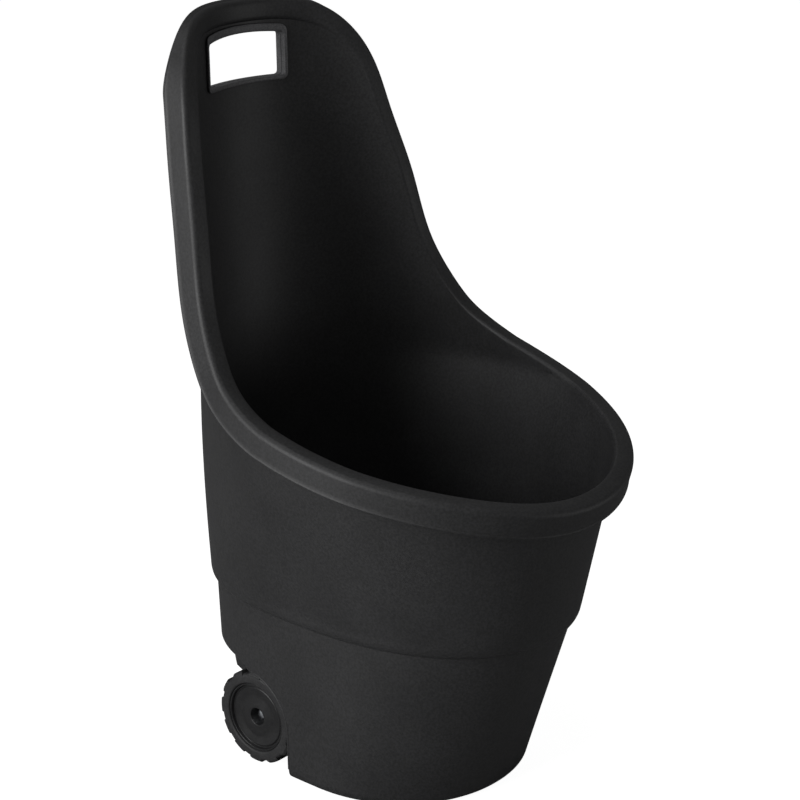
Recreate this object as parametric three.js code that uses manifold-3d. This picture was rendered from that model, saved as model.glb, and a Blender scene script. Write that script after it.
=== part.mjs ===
// Two-wheeled moulded garden cart: a one-piece tub whose rear wall rises into a handle with a
// finger grip, carried on two lugged wheels on a steel axle under its rear edge.
// Millimetres, +Z up. The low lip faces -Y, the handle is at +Y and the axle lies along X.
import * as THREE from "three";
import { mergeGeometries, mergeVertices } from "three/addons/utils/BufferGeometryUtils.js";
import Module from "manifold-3d";

const wasm = await Module();
wasm.setup();

// ---------------------------------------------------------------- driving dimensions, mm

const HANDLE_TOP_Z = 840; // rim's inner edge at the top of the handle
const SHOULDER_Z = 486.5; // where the rim leaves the tub's sides and climbs the handle

// Plan of the tub's outer face at four heights: half width, reach to the front, reach to the
// rear, and how square the plan's front and rear corners are (2 is an ellipse).
const PLAN = [
  { z: 0, half: 152.5, front: 159, rear: 216.5, squareFront: 2.08, squareRear: 2.9 },
  { z: 220, half: 156.5, front: 231.5, rear: 234, squareFront: 2.23, squareRear: 2.68 },
  { z: 430, half: 208, front: 273, rear: 234, squareFront: 2.07, squareRear: 2 },
  { z: HANDLE_TOP_Z, half: 188, front: 328.7, rear: 243, squareFront: 2.24, squareRear: 2.05 },
];
const WALL = 3.2; // moulded wall
const STEP_Z = 211; // middle of the rounded step round the body
const STEP_INSET = 6; // the body below the step is set in by this much
const STEP_RISE = 14; // height that the step's round takes
const BASE_FILLET = 12;
const FOOT_WIDTH = 18; // flat ring that the tub stands on
const FOOT_HEIGHT = 4; // the base inside the ring is raised by this much

// Inner edge of the rim. Round the tub it is given by angle from the front, and up the handle
// by half width at heights counted from the shoulder to the handle's top.
const RIM_TUB = [
  { angle: 0, z: 389.5 },
  { angle: 40, z: 408 },
  { angle: 75, z: 438 },
  { angle: 104, z: SHOULDER_Z },
];
const RIM_HANDLE = [
  { rise: 0.07, half: 189 },
  { rise: 0.23, half: 175 },
  { rise: 0.45, half: 162.7 },
  { rise: 0.67, half: 147.3 },
  { rise: 0.85, half: 132 },
  { rise: 0.965, half: 100.5 },
];
const RIM_LAND = 23; // width of the rim's face
const RIM_RAISE = 2.4; // the face stands this much above the tub's edge
const RIM_ROUND = 7; // outer edge radius
const RIM_INNER_ROUND = 3.6; // the rounded inner edge's width
const FLANGE_DEPTH = 29;
const FLANGE_DEPTH_TOP = 11; // over the top of the handle
const FLANGE_TAPER = 55; // height below the handle's top over which the flange gets shallower
const FLANGE_FLARE = 2;
const RIM_SLOPE_FRONT = 13; // degrees by which the rim's face leans forward at the front lip
const UPRIGHT_RISE = 0.575; // above this share of the handle's height the rim's face is upright

// Finger opening and its two-part liner
const GRIP_WIDTH = 122; // clear opening
const GRIP_HEIGHT = 54;
const GRIP_ARCH = 4; // rise of the opening's top edge at the middle
const GRIP_DROP = 14; // from the rim's inner edge down to the top of the clear opening
const GRIP_CORNER = 5;
const SLEEVE = 1.8; // liner wall inside the panel's cut-out
const LIP_TOP = 9; // height of the liner's face over the opening
const LIP_BOTTOM = 5;
const LIP_SIDE = 3.6;
const LIP_FRONT = 2.4; // thickness of the liner's lip on the panel's front
const LIP_REAR = 6;

// Wheels and axle
const WHEEL_RADIUS = 57; // over the lugs
const WHEEL_WIDTH = 32;
const WHEEL_RECESS = 2; // the wheel's outer face sits inside the body's side by this much
const LUG_COUNT = 12; // in each of the two rows
const LUG_HEIGHT = 3;
const LUG_SHARE = 0.52; // share of the pitch that a lug takes at its top
const LUG_DRAFT = 0.04; // share of the pitch by which each end of a lug slopes
const LUG_ROOT = 2; // how far the lugs reach into the tread
const SHOULDER_BEVEL = 2.5; // tyre's outer edges
const SEAT_BEVEL = 2.5; // tyre's inner edges
const TYRE_SEAT_RADIUS = 42;
const AXLE_Y = 100.5;
const AXLE_RADIUS = 4.5;
const AXLE_BEVEL = 0.8;
const HUB_FLANGE = 2; // the hub's rims end this far inside the tyre's faces
const HUB_SEAT = 6; // thickness of the hub's seat for the tyre
const HUB_WEB = 5; // inner face of the web, from the wheel's middle
const HUB_DISH = 4.5; // the outer disc's edge lies this far inside the tyre's outer face
const HUB_CONE = 2; // the disc sinks this much further half way to the pocket
const HUB_GROOVE = 6; // depth of the groove between the disc and the rim
const HUB_WALL = 3; // round the pocket
const HUB_POCKET_RADIUS = 10.5;
const HUB_POCKET_DEPTH = 20.5;
const WASHER_RADIUS = 9;
const WASHER_THICKNESS = 1.5;
const CAP_WALL = 1.2; // round the axle's end
const CAP_SKIN = 0.9; // over the axle's end
const CAP_DOME = 1.2;
const CAP_SKIRT = 5;
const WELL_GAP = 3.5; // between the lugs and the arch over them
const CLIP_POSITIONS = [-78, -26, 26, 78]; // moulded axle clips along X
const CLIP_THICKNESS = 5;
const CLIP_WALL = 6.5; // round the axle
const CLIP_SNAP = 1.3; // the clip's throat is this much narrower than the axle
const CLIP_LEAD = 1.5; // lead-in on each side of the throat
const AXLE_HEADROOM = 15; // from the axle's centre up to the roof between the wheels
const BAY_CORNER = 8; // round between the bay's front wall and its roof
const BAY_MARGIN = 4; // from the clips to the bay's front wall

// Clearances
const RUNNING = 0.06; // radial, wheel on axle
const GAP = 0.3; // between pieces that touch
const LIP_GAP = 0.9; // between the liner and the panel
const LIP_FRONT_GAP = 2.2; // the panel's hollow front is made of flats that stand proud of its curve

const AROUND = 80; // stations round the tub, an even number
const RADIAL = 36; // sides of a turned piece

const rad = THREE.MathUtils.degToRad;
const lerp = THREE.MathUtils.lerp;
const AXLE_Z = WHEEL_RADIUS;

// ---------------------------------------------------------------- solids

// A closed three.js geometry as a manifold solid, and back.
function solid(geometry) {
  const flat = geometry.index ? geometry.toNonIndexed() : geometry;
  const bare = new THREE.BufferGeometry();
  bare.setAttribute("position", flat.getAttribute("position"));
  const merged = mergeVertices(bare, 1e-4);
  return new wasm.Manifold(
    new wasm.Mesh({
      numProp: 3,
      vertProperties: merged.attributes.position.array,
      triVerts: new Uint32Array(merged.index.array),
    }),
  );
}

function geometryOf(body) {
  const { vertProperties, triVerts } = body.getMesh();
  const geometry = new THREE.BufferGeometry();
  geometry.setAttribute("position", new THREE.BufferAttribute(new Float32Array(vertProperties), 3));
  geometry.setIndex(new THREE.BufferAttribute(new Uint32Array(triVerts), 1));
  geometry.computeVertexNormals();
  return geometry;
}

// A solid from rows of points: each row is a ring, each ring joins the next, and the first and
// last rings close on their middle points.
function ringSolid(rows, firstMiddle, lastMiddle) {
  const count = rows[0].length;
  const points = [firstMiddle, ...rows.flat(), lastMiddle];
  const at = (row, i) => 1 + row * count + (i % count);
  const end = points.length - 1;
  const faces = [];
  for (let i = 0; i < count; i++) {
    faces.push(0, at(0, i + 1), at(0, i));
    faces.push(end, at(rows.length - 1, i), at(rows.length - 1, i + 1));
    for (let row = 0; row + 1 < rows.length; row++) {
      faces.push(at(row, i), at(row, i + 1), at(row + 1, i + 1));
      faces.push(at(row, i), at(row + 1, i + 1), at(row + 1, i));
    }
  }
  const geometry = new THREE.BufferGeometry().setFromPoints(points);
  geometry.setIndex(faces);
  return solid(geometry);
}

// A shape drawn in the Y-Z plane and run along X from x0 to x1.
function runAlongX(shape, x0, x1, curveSegments = 12) {
  const geometry = new THREE.ExtrudeGeometry(shape, { depth: x1 - x0, bevelEnabled: false, curveSegments });
  const toYZ = new THREE.Matrix4().makeBasis(
    new THREE.Vector3(0, 1, 0),
    new THREE.Vector3(0, 0, 1),
    new THREE.Vector3(1, 0, 0),
  );
  geometry.applyMatrix4(toYZ);
  geometry.translate(x0, 0, 0);
  return solid(geometry);
}

// A shape drawn in the X-Z plane and run along Y from y0 to y1.
function runAlongY(shape, y0, y1, curveSegments = 5) {
  const geometry = new THREE.ExtrudeGeometry(shape, { depth: y1 - y0, bevelEnabled: false, curveSegments });
  geometry.rotateX(Math.PI / 2);
  geometry.translate(0, y1, 0);
  return solid(geometry);
}

// A closed profile of [radius, along] pairs turned about the X axis.
function turned(profile, sides = RADIAL) {
  const points = profile.map(([radius, along]) => new THREE.Vector2(radius, along));
  points.push(points[0].clone());
  const geometry = new THREE.LatheGeometry(points, sides);
  geometry.rotateZ(-Math.PI / 2);
  const body = solid(geometry);
  return body.volume() > 0 ? body : solid(flipped(geometry));
}

function flipped(geometry) {
  const copy = geometry.toNonIndexed();
  const position = copy.getAttribute("position");
  const a = new THREE.Vector3();
  const b = new THREE.Vector3();
  for (let i = 0; i < position.count; i += 3) {
    a.fromBufferAttribute(position, i + 1);
    b.fromBufferAttribute(position, i + 2);
    position.setXYZ(i + 1, b.x, b.y, b.z);
    position.setXYZ(i + 2, a.x, a.y, a.z);
  }
  return copy;
}

// ---------------------------------------------------------------- tub wall

// The plan's sizes at a height, from the levels above, drawn in below the step.
function planAt(z) {
  let i = 0;
  while (i < PLAN.length - 2 && z > PLAN[i + 1].z) i++;
  const [low, high] = [PLAN[i], PLAN[i + 1]];
  const t = (z - low.z) / (high.z - low.z);
  const mix = (key) => lerp(low[key], high[key], t);
  const drop = THREE.MathUtils.clamp((STEP_Z + STEP_RISE / 2 - z) / STEP_RISE, 0, 1);
  const inset = STEP_INSET * (1 - Math.sqrt(1 - drop ** 2));
  return {
    half: mix("half") - inset,
    front: mix("front") - inset,
    rear: mix("rear") - inset,
    squareFront: mix("squareFront"),
    squareRear: mix("squareRear"),
  };
}

// A point of the wall: angle 0 is the front, positive towards -X, and inside is how far the
// point lies in from the outer face.
function wallPoint(angle, z, inside = 0, shapeZ = z) {
  const plan = planAt(shapeZ);
  const [s, c] = [Math.sin(angle), Math.cos(angle)];
  const power = 2 / (c > 0 ? plan.squareFront : plan.squareRear);
  const reach = c > 0 ? -(plan.front - inside) : plan.rear - inside;
  const x = -(plan.half - inside) * Math.sign(s) * Math.abs(s) ** power;
  const y = reach * Math.abs(c) ** power;
  return new THREE.Vector3(x, y, z);
}

// How far back the rear wall's outer face lies at a given x.
function rearWallY(x, z) {
  const plan = planAt(z);
  return plan.rear * (1 - Math.abs(x / plan.half) ** plan.squareRear) ** (1 / plan.squareRear);
}

// Half width of the body's side at a given y on the rear half.
function sideWallX(y, z) {
  const plan = planAt(z);
  return plan.half * (1 - Math.abs(y / plan.rear) ** plan.squareRear) ** (1 / plan.squareRear);
}

// ---------------------------------------------------------------- rim

// Second derivatives of a cubic spline through values at knots; each end is either straight
// ("free") or has no slope ("level").
function splineBends(knots, values, end) {
  const n = knots.length;
  const [lower, middle, upper, right] = [[], [], [], []];
  for (let i = 0; i < n; i++) {
    const before = i > 0 ? knots[i] - knots[i - 1] : 0;
    const after = i < n - 1 ? knots[i + 1] - knots[i] : 0;
    const rise = i < n - 1 ? (values[i + 1] - values[i]) / after : 0;
    const fall = i > 0 ? (values[i] - values[i - 1]) / before : 0;
    const isEnd = i === 0 || i === n - 1;
    const isFree = isEnd && end === "free";
    lower.push(isFree ? 0 : before / 6);
    upper.push(isFree ? 0 : after / 6);
    middle.push(isFree ? 1 : (before + after) / 3);
    right.push(isFree ? 0 : rise - fall);
  }
  for (let i = 1; i < n; i++) {
    const share = lower[i] / middle[i - 1];
    middle[i] -= share * upper[i - 1];
    right[i] -= share * right[i - 1];
  }
  const bends = new Array(n).fill(0);
  for (let i = n - 1; i >= 0; i--) {
    bends[i] = (right[i] - (i < n - 1 ? upper[i] * bends[i + 1] : 0)) / middle[i];
  }
  return bends;
}

function spline(knots, values, end) {
  const bends = splineBends(knots, values, end);
  return (t) => {
    let i = 0;
    while (i < knots.length - 2 && t > knots[i + 1]) i++;
    const span = knots[i + 1] - knots[i];
    const [a, b] = [(knots[i + 1] - t) / span, (t - knots[i]) / span];
    const bend = ((a ** 3 - a) * bends[i] + (b ** 3 - b) * bends[i + 1]) * (span ** 2 / 6);
    return a * values[i] + b * values[i + 1] + bend;
  };
}

// The rim's inner edge on one side, from the front's middle to the handle's top, as angle and
// height on the inner face of the wall.
function rimPath() {
  const handle = RIM_HANDLE.map(({ rise, half }) => {
    const z = lerp(SHOULDER_Z, HANDLE_TOP_Z, rise);
    const plan = planAt(z);
    const share = Math.min(half / (plan.half - WALL), 1);
    return { angle: Math.PI - Math.asin(share ** (plan.squareRear / 2)), z };
  });
  const tub = RIM_TUB.map(({ angle, z }) => ({ angle: rad(angle), z }));
  const marks = [...tub, ...handle, { angle: Math.PI, z: HANDLE_TOP_Z }];
  const places = marks.map(({ angle, z }) => wallPoint(angle, z, WALL));
  const knots = [0];
  for (let i = 1; i < places.length; i++) {
    knots.push(knots[i - 1] + places[i].distanceTo(places[i - 1]) ** 0.75);
  }
  const angle = spline(knots, marks.map((m) => m.angle), "free");
  const z = spline(knots, marks.map((m) => m.z), "level");
  return { angle, z, length: knots.at(-1), tubEnd: knots[RIM_TUB.length - 1] };
}

// Stations at even distances along one side's rim.
function rimStations(count) {
  const path = rimPath();
  const fine = 800;
  const samples = [];
  let run = 0;
  for (let i = 0; i <= fine; i++) {
    const t = (path.length * i) / fine;
    const place = wallPoint(path.angle(t), path.z(t), WALL);
    if (i > 0) run += place.distanceTo(samples[i - 1].place);
    samples.push({ t, run, place });
  }
  const tubRun = samples.find((s) => s.t >= path.tubEnd).run;
  const stations = [];
  for (let i = 0; i <= count; i++) {
    const goal = (run * i) / count;
    const j = Math.max(1, samples.findIndex((s) => s.run >= goal - 1e-9));
    const [a, b] = [samples[j - 1], samples[j]];
    const t = lerp(a.t, b.t, (goal - a.run) / (b.run - a.run));
    const angle = path.angle(t);
    const shoulder = path.angle(path.tubEnd);
    const climb = Math.max(0, (goal - tubRun) / (run - tubRun));
    const bodyAngle = goal < tubRun ? angle : lerp(shoulder, Math.PI, climb);
    stations.push({ angle, z: path.z(t), bodyAngle });
  }
  return stations;
}

// Both sides' stations as one ring, each with the directions of the rim's section there:
// up (normal to the rim's face), out (across the face) and the wall's own outward normal.
function rimRing() {
  const half = AROUND / 2;
  const side = rimStations(half);
  const uprightZ = lerp(SHOULDER_Z, HANDLE_TOP_Z, UPRIGHT_RISE);
  const slopes = side.map((s, i) => {
    const a = side[Math.max(0, i - 1)];
    const b = side[Math.min(half, i + 1)];
    const [p, q] = [wallPoint(a.angle, a.z, WALL), wallPoint(b.angle, b.z, WALL)];
    if (s.z > uprightZ) return 90;
    return Math.max(RIM_SLOPE_FRONT, THREE.MathUtils.radToDeg(Math.atan2(q.z - p.z, q.y - p.y)));
  });
  const smooth = slopes.map((_, i) => {
    const near = [-3, -2, -1, 0, 1, 2, 3].map((k) => slopes[THREE.MathUtils.clamp(i + k, 0, half)]);
    return near.reduce((sum, v) => sum + v, 0) / near.length;
  });
  const ring = side.map((s, i) => ({ ...s, lean: rad(smooth[i]) }));
  for (let i = half - 1; i > 0; i--) {
    ring.push({ ...ring[i], angle: -ring[i].angle, bodyAngle: -ring[i].bodyAngle });
  }
  ring.forEach((s) => (s.edge = wallPoint(s.angle, s.z, WALL)));
  ring.forEach((s, i) => {
    const before = ring[(i + ring.length - 1) % ring.length].edge;
    const after = ring[(i + 1) % ring.length].edge;
    const along = after.clone().sub(before).normalize();
    s.up = new THREE.Vector3(0, -Math.sin(s.lean), Math.cos(s.lean));
    s.out = s.up.clone().cross(along).normalize();
    s.up = along.clone().cross(s.out).normalize();
    s.normal = wallNormal(s.angle, s.z);
  });
  return ring;
}

function wallNormal(angle, z) {
  const round = wallPoint(angle + 0.01, z).sub(wallPoint(angle - 0.01, z));
  const rise = wallPoint(angle, z + 1).sub(wallPoint(angle, z - 1));
  return rise.cross(round).normalize();
}

// ---------------------------------------------------------------- tub rows

const RULED_HEIGHT = 64; // the rows climb to the rim over this height at the front lip
const RULED_BOTTOM_Z = RIM_TUB[0].z - RULED_HEIGHT; // below this the rows are level
const RULED_ROWS = [0.965, 0.92, 0.86, 0.75, 0.5, 0.28, 0.1];

// Where a row between the level part and the rim meets a station; climb 1 is the rim itself.
function ruledPoint(station, climb, inside) {
  const angle = lerp(station.bodyAngle, station.angle, climb);
  return wallPoint(angle, lerp(RULED_BOTTOM_Z, station.z, climb), inside);
}

// How far the flange hangs down at a height of the rim's inner edge.
function flangeDepth(z) {
  const climb = THREE.MathUtils.smoothstep(z, HANDLE_TOP_Z - FLANGE_TAPER, HANDLE_TOP_Z);
  return lerp(FLANGE_DEPTH, FLANGE_DEPTH_TOP, climb);
}

// The rim's section from the tub's inner face, over the face and flange, to the outer face.
function rimRows(ring) {
  const chamfer = RIM_INNER_ROUND / 3;
  const section = (s) => {
    const depth = flangeDepth(s.z);
    const down = ruledPoint(s, RULED_ROWS[0], WALL).sub(s.edge).normalize();
    const at = (out, up, along = 0) =>
      s.edge.clone().addScaledVector(s.out, out).addScaledVector(s.up, up).addScaledVector(down, along);
    const rows = [at(0, 0, 2 * WALL), at(0, 0, 2 * chamfer)];
    rows.push(at(chamfer, RIM_RAISE - chamfer / 2), at(RIM_INNER_ROUND, RIM_RAISE));
    for (const turn of [0, 30, 60, 90]) {
      const across = RIM_LAND - RIM_ROUND + RIM_ROUND * Math.sin(rad(turn));
      rows.push(at(across, RIM_RAISE - RIM_ROUND * (1 - Math.cos(rad(turn)))));
    }
    const tip = RIM_LAND + FLANGE_FLARE;
    rows.push(at(tip, chamfer - depth), at(tip - chamfer, -depth), at(tip - WALL, -depth));
    rows.push(at(RIM_LAND - WALL, RIM_RAISE - RIM_ROUND));
    rows.push(at(RIM_LAND - RIM_ROUND, RIM_RAISE - WALL));
    rows.push(at(2 * WALL, RIM_RAISE - WALL));
    const back = s.edge.clone().addScaledVector(s.normal, WALL);
    rows.push(back.clone().addScaledVector(down, WALL).addScaledVector(s.out, WALL / 4));
    rows.push(back.clone().addScaledVector(down, 3 * WALL));
    return rows;
  };
  const columns = ring.map(section);
  return columns[0].map((_, row) => columns.map((column) => column[row]));
}

const FLOOR_TOP = FOOT_HEIGHT + WALL;
const fillet = (turn) => [BASE_FILLET * (1 - Math.sin(rad(turn))), BASE_FILLET * (1 - Math.cos(rad(turn)))];

// A level row: the plan at a height, drawn in by inside.
const levelRow = (ring, z, inside, shapeZ) => ring.map((s) => wallPoint(s.bodyAngle, z, inside, shapeZ));

// A level row drawn towards the plan's middle.
function shrunkRow(ring, z, inside, share) {
  const middle = new THREE.Vector3(0, planMiddleY(), z);
  return levelRow(ring, z, inside).map((p) => p.lerp(middle, 1 - share));
}

const planMiddleY = () => (PLAN[0].rear - PLAN[0].front) / 2;

const STEP_LEVELS = [0.5, 0.2, -0.1, -0.35, -0.5, -0.52].map((share) => STEP_Z + share * STEP_RISE);
const BODY_LEVELS = [RULED_BOTTOM_Z, ...STEP_LEVELS, 110, 50];

function outerRows(ring) {
  const rows = RULED_ROWS.map((climb) => ring.map((s) => ruledPoint(s, climb, 0)));
  rows.push(...BODY_LEVELS.map((z) => levelRow(ring, z, 0)));
  for (const turn of [0, 35, 90]) {
    const [z, inside] = fillet(turn);
    rows.push(levelRow(ring, z, inside));
  }
  rows.push(levelRow(ring, 0, BASE_FILLET + FOOT_WIDTH));
  rows.push(levelRow(ring, FOOT_HEIGHT, BASE_FILLET + FOOT_WIDTH + 3));
  rows.push(shrunkRow(ring, FOOT_HEIGHT, BASE_FILLET + FOOT_WIDTH + 3, 0.5));
  return rows;
}

function innerRows(ring) {
  const rows = RULED_ROWS.map((climb) => ring.map((s) => ruledPoint(s, climb, WALL)));
  rows.push(...BODY_LEVELS.map((z) => levelRow(ring, z + (z < STEP_LEVELS[0] ? WALL * 0.6 : 0), WALL, z)));
  for (const turn of [0, 45, 90]) {
    const [z, inside] = fillet(turn);
    rows.push(levelRow(ring, FLOOR_TOP + z, WALL + inside));
  }
  rows.push(shrunkRow(ring, FLOOR_TOP, WALL + BASE_FILLET, 0.5));
  return rows.reverse();
}

// ---------------------------------------------------------------- wheel bay

const WELL_RADIUS = WHEEL_RADIUS + WELL_GAP;
const WHEEL_OUTER_X = sideWallX(AXLE_Y, AXLE_Z) - WHEEL_RECESS;
const WHEEL_INNER_X = WHEEL_OUTER_X - WHEEL_WIDTH;
const WELL_INNER_X = WHEEL_INNER_X - WASHER_THICKNESS - 2 * GAP;
const CLIP_RADIUS = AXLE_RADIUS + GAP + CLIP_WALL;
const BEYOND = 2 * PLAN[1].rear; // past the body's sides
const BELOW = -WHEEL_RADIUS; // past the body's base

// Space round a wheel: an arch over the axle that runs on to the rear.
function wellShape(grow) {
  const radius = WELL_RADIUS + grow;
  const shape = new THREE.Shape();
  shape.moveTo(AXLE_Y - radius, BELOW);
  shape.lineTo(AXLE_Y - radius, AXLE_Z);
  shape.absarc(AXLE_Y, AXLE_Z, radius, Math.PI, Math.PI / 2, true);
  shape.lineTo(BEYOND, AXLE_Z + radius);
  shape.lineTo(BEYOND, BELOW);
  return shape;
}

// Space round the axle between the wheels, with a roof that climbs to the rear wall.
function bayShape(grow) {
  const front = AXLE_Y - CLIP_RADIUS - BAY_MARGIN - grow;
  const roof = AXLE_Z + AXLE_HEADROOM + grow;
  const rearZ = AXLE_Z + WELL_RADIUS + grow;
  const rearY = PLAN[0].rear - STEP_INSET;
  const shape = new THREE.Shape();
  shape.moveTo(front, BELOW);
  shape.lineTo(front, roof - BAY_CORNER);
  shape.quadraticCurveTo(front, roof, front + BAY_CORNER, roof);
  shape.lineTo(AXLE_Y + CLIP_RADIUS, roof);
  shape.lineTo(rearY, rearZ);
  shape.lineTo(BEYOND, rearZ);
  shape.lineTo(BEYOND, BELOW);
  return shape;
}

function wheelBay(grow) {
  const inner = WELL_INNER_X - grow;
  return runAlongX(wellShape(grow), inner, BEYOND, 18)
    .add(runAlongX(wellShape(grow), -BEYOND, -inner, 18))
    .add(runAlongX(bayShape(grow), -inner - 1, inner + 1));
}

// A moulded clip: a plate that hangs from the bay's roof with a snap-in seat for the axle.
function axleClip(x) {
  const shape = new THREE.Shape();
  const throat = AXLE_RADIUS - CLIP_SNAP / 2;
  const seat = AXLE_RADIUS + GAP;
  const open = Math.asin(throat / seat);
  const mouth = Math.asin((throat + CLIP_LEAD) / CLIP_RADIUS);
  shape.moveTo(AXLE_Y - CLIP_RADIUS, AXLE_Z + AXLE_HEADROOM + WALL / 2);
  shape.lineTo(AXLE_Y - CLIP_RADIUS, AXLE_Z);
  shape.absarc(AXLE_Y, AXLE_Z, CLIP_RADIUS, Math.PI, 1.5 * Math.PI - mouth, false);
  shape.absarc(AXLE_Y, AXLE_Z, seat, 1.5 * Math.PI - open, -Math.PI / 2 + open, true);
  shape.absarc(AXLE_Y, AXLE_Z, CLIP_RADIUS, -Math.PI / 2 + mouth, 0, false);
  shape.lineTo(AXLE_Y + CLIP_RADIUS, AXLE_Z + AXLE_HEADROOM + WALL / 2);
  return runAlongX(shape, x - CLIP_THICKNESS / 2, x + CLIP_THICKNESS / 2);
}

// ---------------------------------------------------------------- grip

const GRIP_TOP_Z = HANDLE_TOP_Z - GRIP_DROP;

// The grip opening's outline in the X-Z plane, grown by a margin at its side, top and bottom.
function gripShape(side, top = side, bottom = side, corner = GRIP_CORNER + Math.min(side, top)) {
  const half = GRIP_WIDTH / 2 + side;
  const low = GRIP_TOP_Z - GRIP_HEIGHT - bottom;
  const high = GRIP_TOP_Z - GRIP_ARCH + top;
  const shape = new THREE.Shape();
  shape.moveTo(-half + corner, low);
  shape.lineTo(half - corner, low);
  shape.quadraticCurveTo(half, low, half, low + corner);
  shape.lineTo(half, high - corner);
  shape.quadraticCurveTo(half, high, half - corner, high + GRIP_ARCH * 0.15);
  shape.quadraticCurveTo(0, high + GRIP_ARCH * 1.85, -half + corner, high + GRIP_ARCH * 0.15);
  shape.quadraticCurveTo(-half, high, -half, high - corner);
  shape.lineTo(-half, low + corner);
  shape.quadraticCurveTo(-half, low, -half + corner, low);
  return shape;
}

const throughPanel = (shape) => runAlongY(shape, PLAN[3].rear / 2, PLAN[3].rear + 2 * RIM_LAND);

// A curved slab that follows the handle panel, between two depths counted inwards from the
// panel's rear face, wide and tall enough to hold the liner.
function panelSlab(deep, shallow) {
  const [columns, rows] = [24, 3];
  const margin = 2 * Math.max(LIP_TOP, LIP_BOTTOM, LIP_SIDE);
  const half = GRIP_WIDTH / 2 + margin;
  const low = GRIP_TOP_Z - GRIP_HEIGHT - margin;
  const high = GRIP_TOP_Z + margin;
  const sheet = (inside) => (i, j) => {
    const x = lerp(-half, half, i / columns);
    const z = lerp(low, high, j / rows);
    return new THREE.Vector3(x, rearWallY(x, z) - inside, z);
  };
  const ringAt = (place) => {
    const ring = [];
    for (let i = 0; i < columns; i++) ring.push(place(i, 0));
    for (let j = 0; j < rows; j++) ring.push(place(columns, j));
    for (let i = columns; i > 0; i--) ring.push(place(i, rows));
    for (let j = rows; j > 0; j--) ring.push(place(0, j));
    return ring;
  };
  return gridSlab(sheet(deep), sheet(shallow), columns, rows, ringAt);
}

// A slab between two sheets of points, with its four edges closed.
function gridSlab(front, rear, columns, rows, ringAt) {
  const points = [];
  const faces = [];
  const quad = (a, b, c, d) => {
    const start = points.length;
    points.push(a, b, c, d);
    faces.push(start, start + 1, start + 2, start, start + 2, start + 3);
  };
  for (let i = 0; i < columns; i++) {
    for (let j = 0; j < rows; j++) {
      quad(front(i, j), front(i + 1, j), front(i + 1, j + 1), front(i, j + 1));
      quad(rear(i, j), rear(i, j + 1), rear(i + 1, j + 1), rear(i + 1, j));
    }
  }
  const [edgeFront, edgeRear] = [ringAt(front), ringAt(rear)];
  edgeFront.forEach((p, i) => {
    const next = (i + 1) % edgeFront.length;
    quad(p, edgeRear[i], edgeRear[next], edgeFront[next]);
  });
  const geometry = new THREE.BufferGeometry().setFromPoints(points);
  geometry.setIndex(faces);
  return solid(geometry);
}

// The liner is made of two halves that snap together inside the panel's cut-out.
function gripHalves() {
  const clear = throughPanel(gripShape(0));
  const sleeve = throughPanel(gripShape(SLEEVE)).subtract(clear);
  const lip = throughPanel(gripShape(LIP_SIDE, LIP_TOP, LIP_BOTTOM, GRIP_CORNER + LIP_SIDE)).subtract(clear);
  const joint = WALL / 2;
  const [frontFace, rearFace] = [WALL + LIP_FRONT_GAP, -LIP_GAP];
  const front = lip
    .intersect(panelSlab(frontFace + LIP_FRONT, frontFace))
    .add(sleeve.intersect(panelSlab(frontFace + LIP_FRONT, joint + LIP_GAP / 2)));
  const rear = lip
    .intersect(panelSlab(rearFace, rearFace - LIP_REAR))
    .add(sleeve.intersect(panelSlab(joint - LIP_GAP / 2, rearFace - LIP_REAR)));
  return { front, rear };
}

const GRIP_CUT = SLEEVE + LIP_GAP;

// ---------------------------------------------------------------- tub

function tubShell() {
  const ring = rimRing();
  const inner = innerRows(ring);
  const rim = rimRows(ring);
  const outer = outerRows(ring);
  const floorMiddle = new THREE.Vector3(0, planMiddleY(), FLOOR_TOP);
  const baseMiddle = new THREE.Vector3(0, planMiddleY(), FOOT_HEIGHT);
  const shell = ringSolid([...inner, ...rim, ...outer], floorMiddle, baseMiddle);
  const lowerRows = outer.slice(RULED_ROWS.length + 1);
  const topMiddle = new THREE.Vector3(0, planMiddleY(), lowerRows[0][0].z);
  const body = ringSolid(lowerRows, topMiddle, baseMiddle);
  const bay = wheelBay(0);
  const lining = wheelBay(WALL).subtract(bay).intersect(body);
  let tub = shell.subtract(bay).add(lining);
  for (const x of CLIP_POSITIONS) tub = tub.add(axleClip(x));
  return tub.subtract(throughPanel(gripShape(GRIP_CUT)));
}

// ---------------------------------------------------------------- wheels and axle

// Pieces of one side are made about the X axis with +X outwards, counted from the wheel's
// middle plane, and then put on the axle.
const HALF_WHEEL = WHEEL_WIDTH / 2;

// One ring of lugs, cut from a slice of the tread.
function lugRow(turn, from, to) {
  const root = WHEEL_RADIUS - LUG_HEIGHT;
  const pitch = (2 * Math.PI) / LUG_COUNT;
  const outline = [];
  const point = (radius, angle) =>
    outline.push(new THREE.Vector2(radius * Math.cos(angle), radius * Math.sin(angle)));
  for (let i = 0; i < LUG_COUNT; i++) {
    const middle = i * pitch + turn;
    const top = (pitch * LUG_SHARE) / 2;
    const foot = top + pitch * LUG_DRAFT;
    point(root, middle - foot);
    for (const share of [-1, -0.5, 0, 0.5, 1]) point(WHEEL_RADIUS, middle + top * share);
    point(root, middle + foot);
  }
  const shape = new THREE.Shape(outline);
  shape.holes.push(new THREE.Path().absarc(0, 0, root - LUG_ROOT, 0, 2 * Math.PI));
  return runAlongX(shape, from, to);
}

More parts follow.
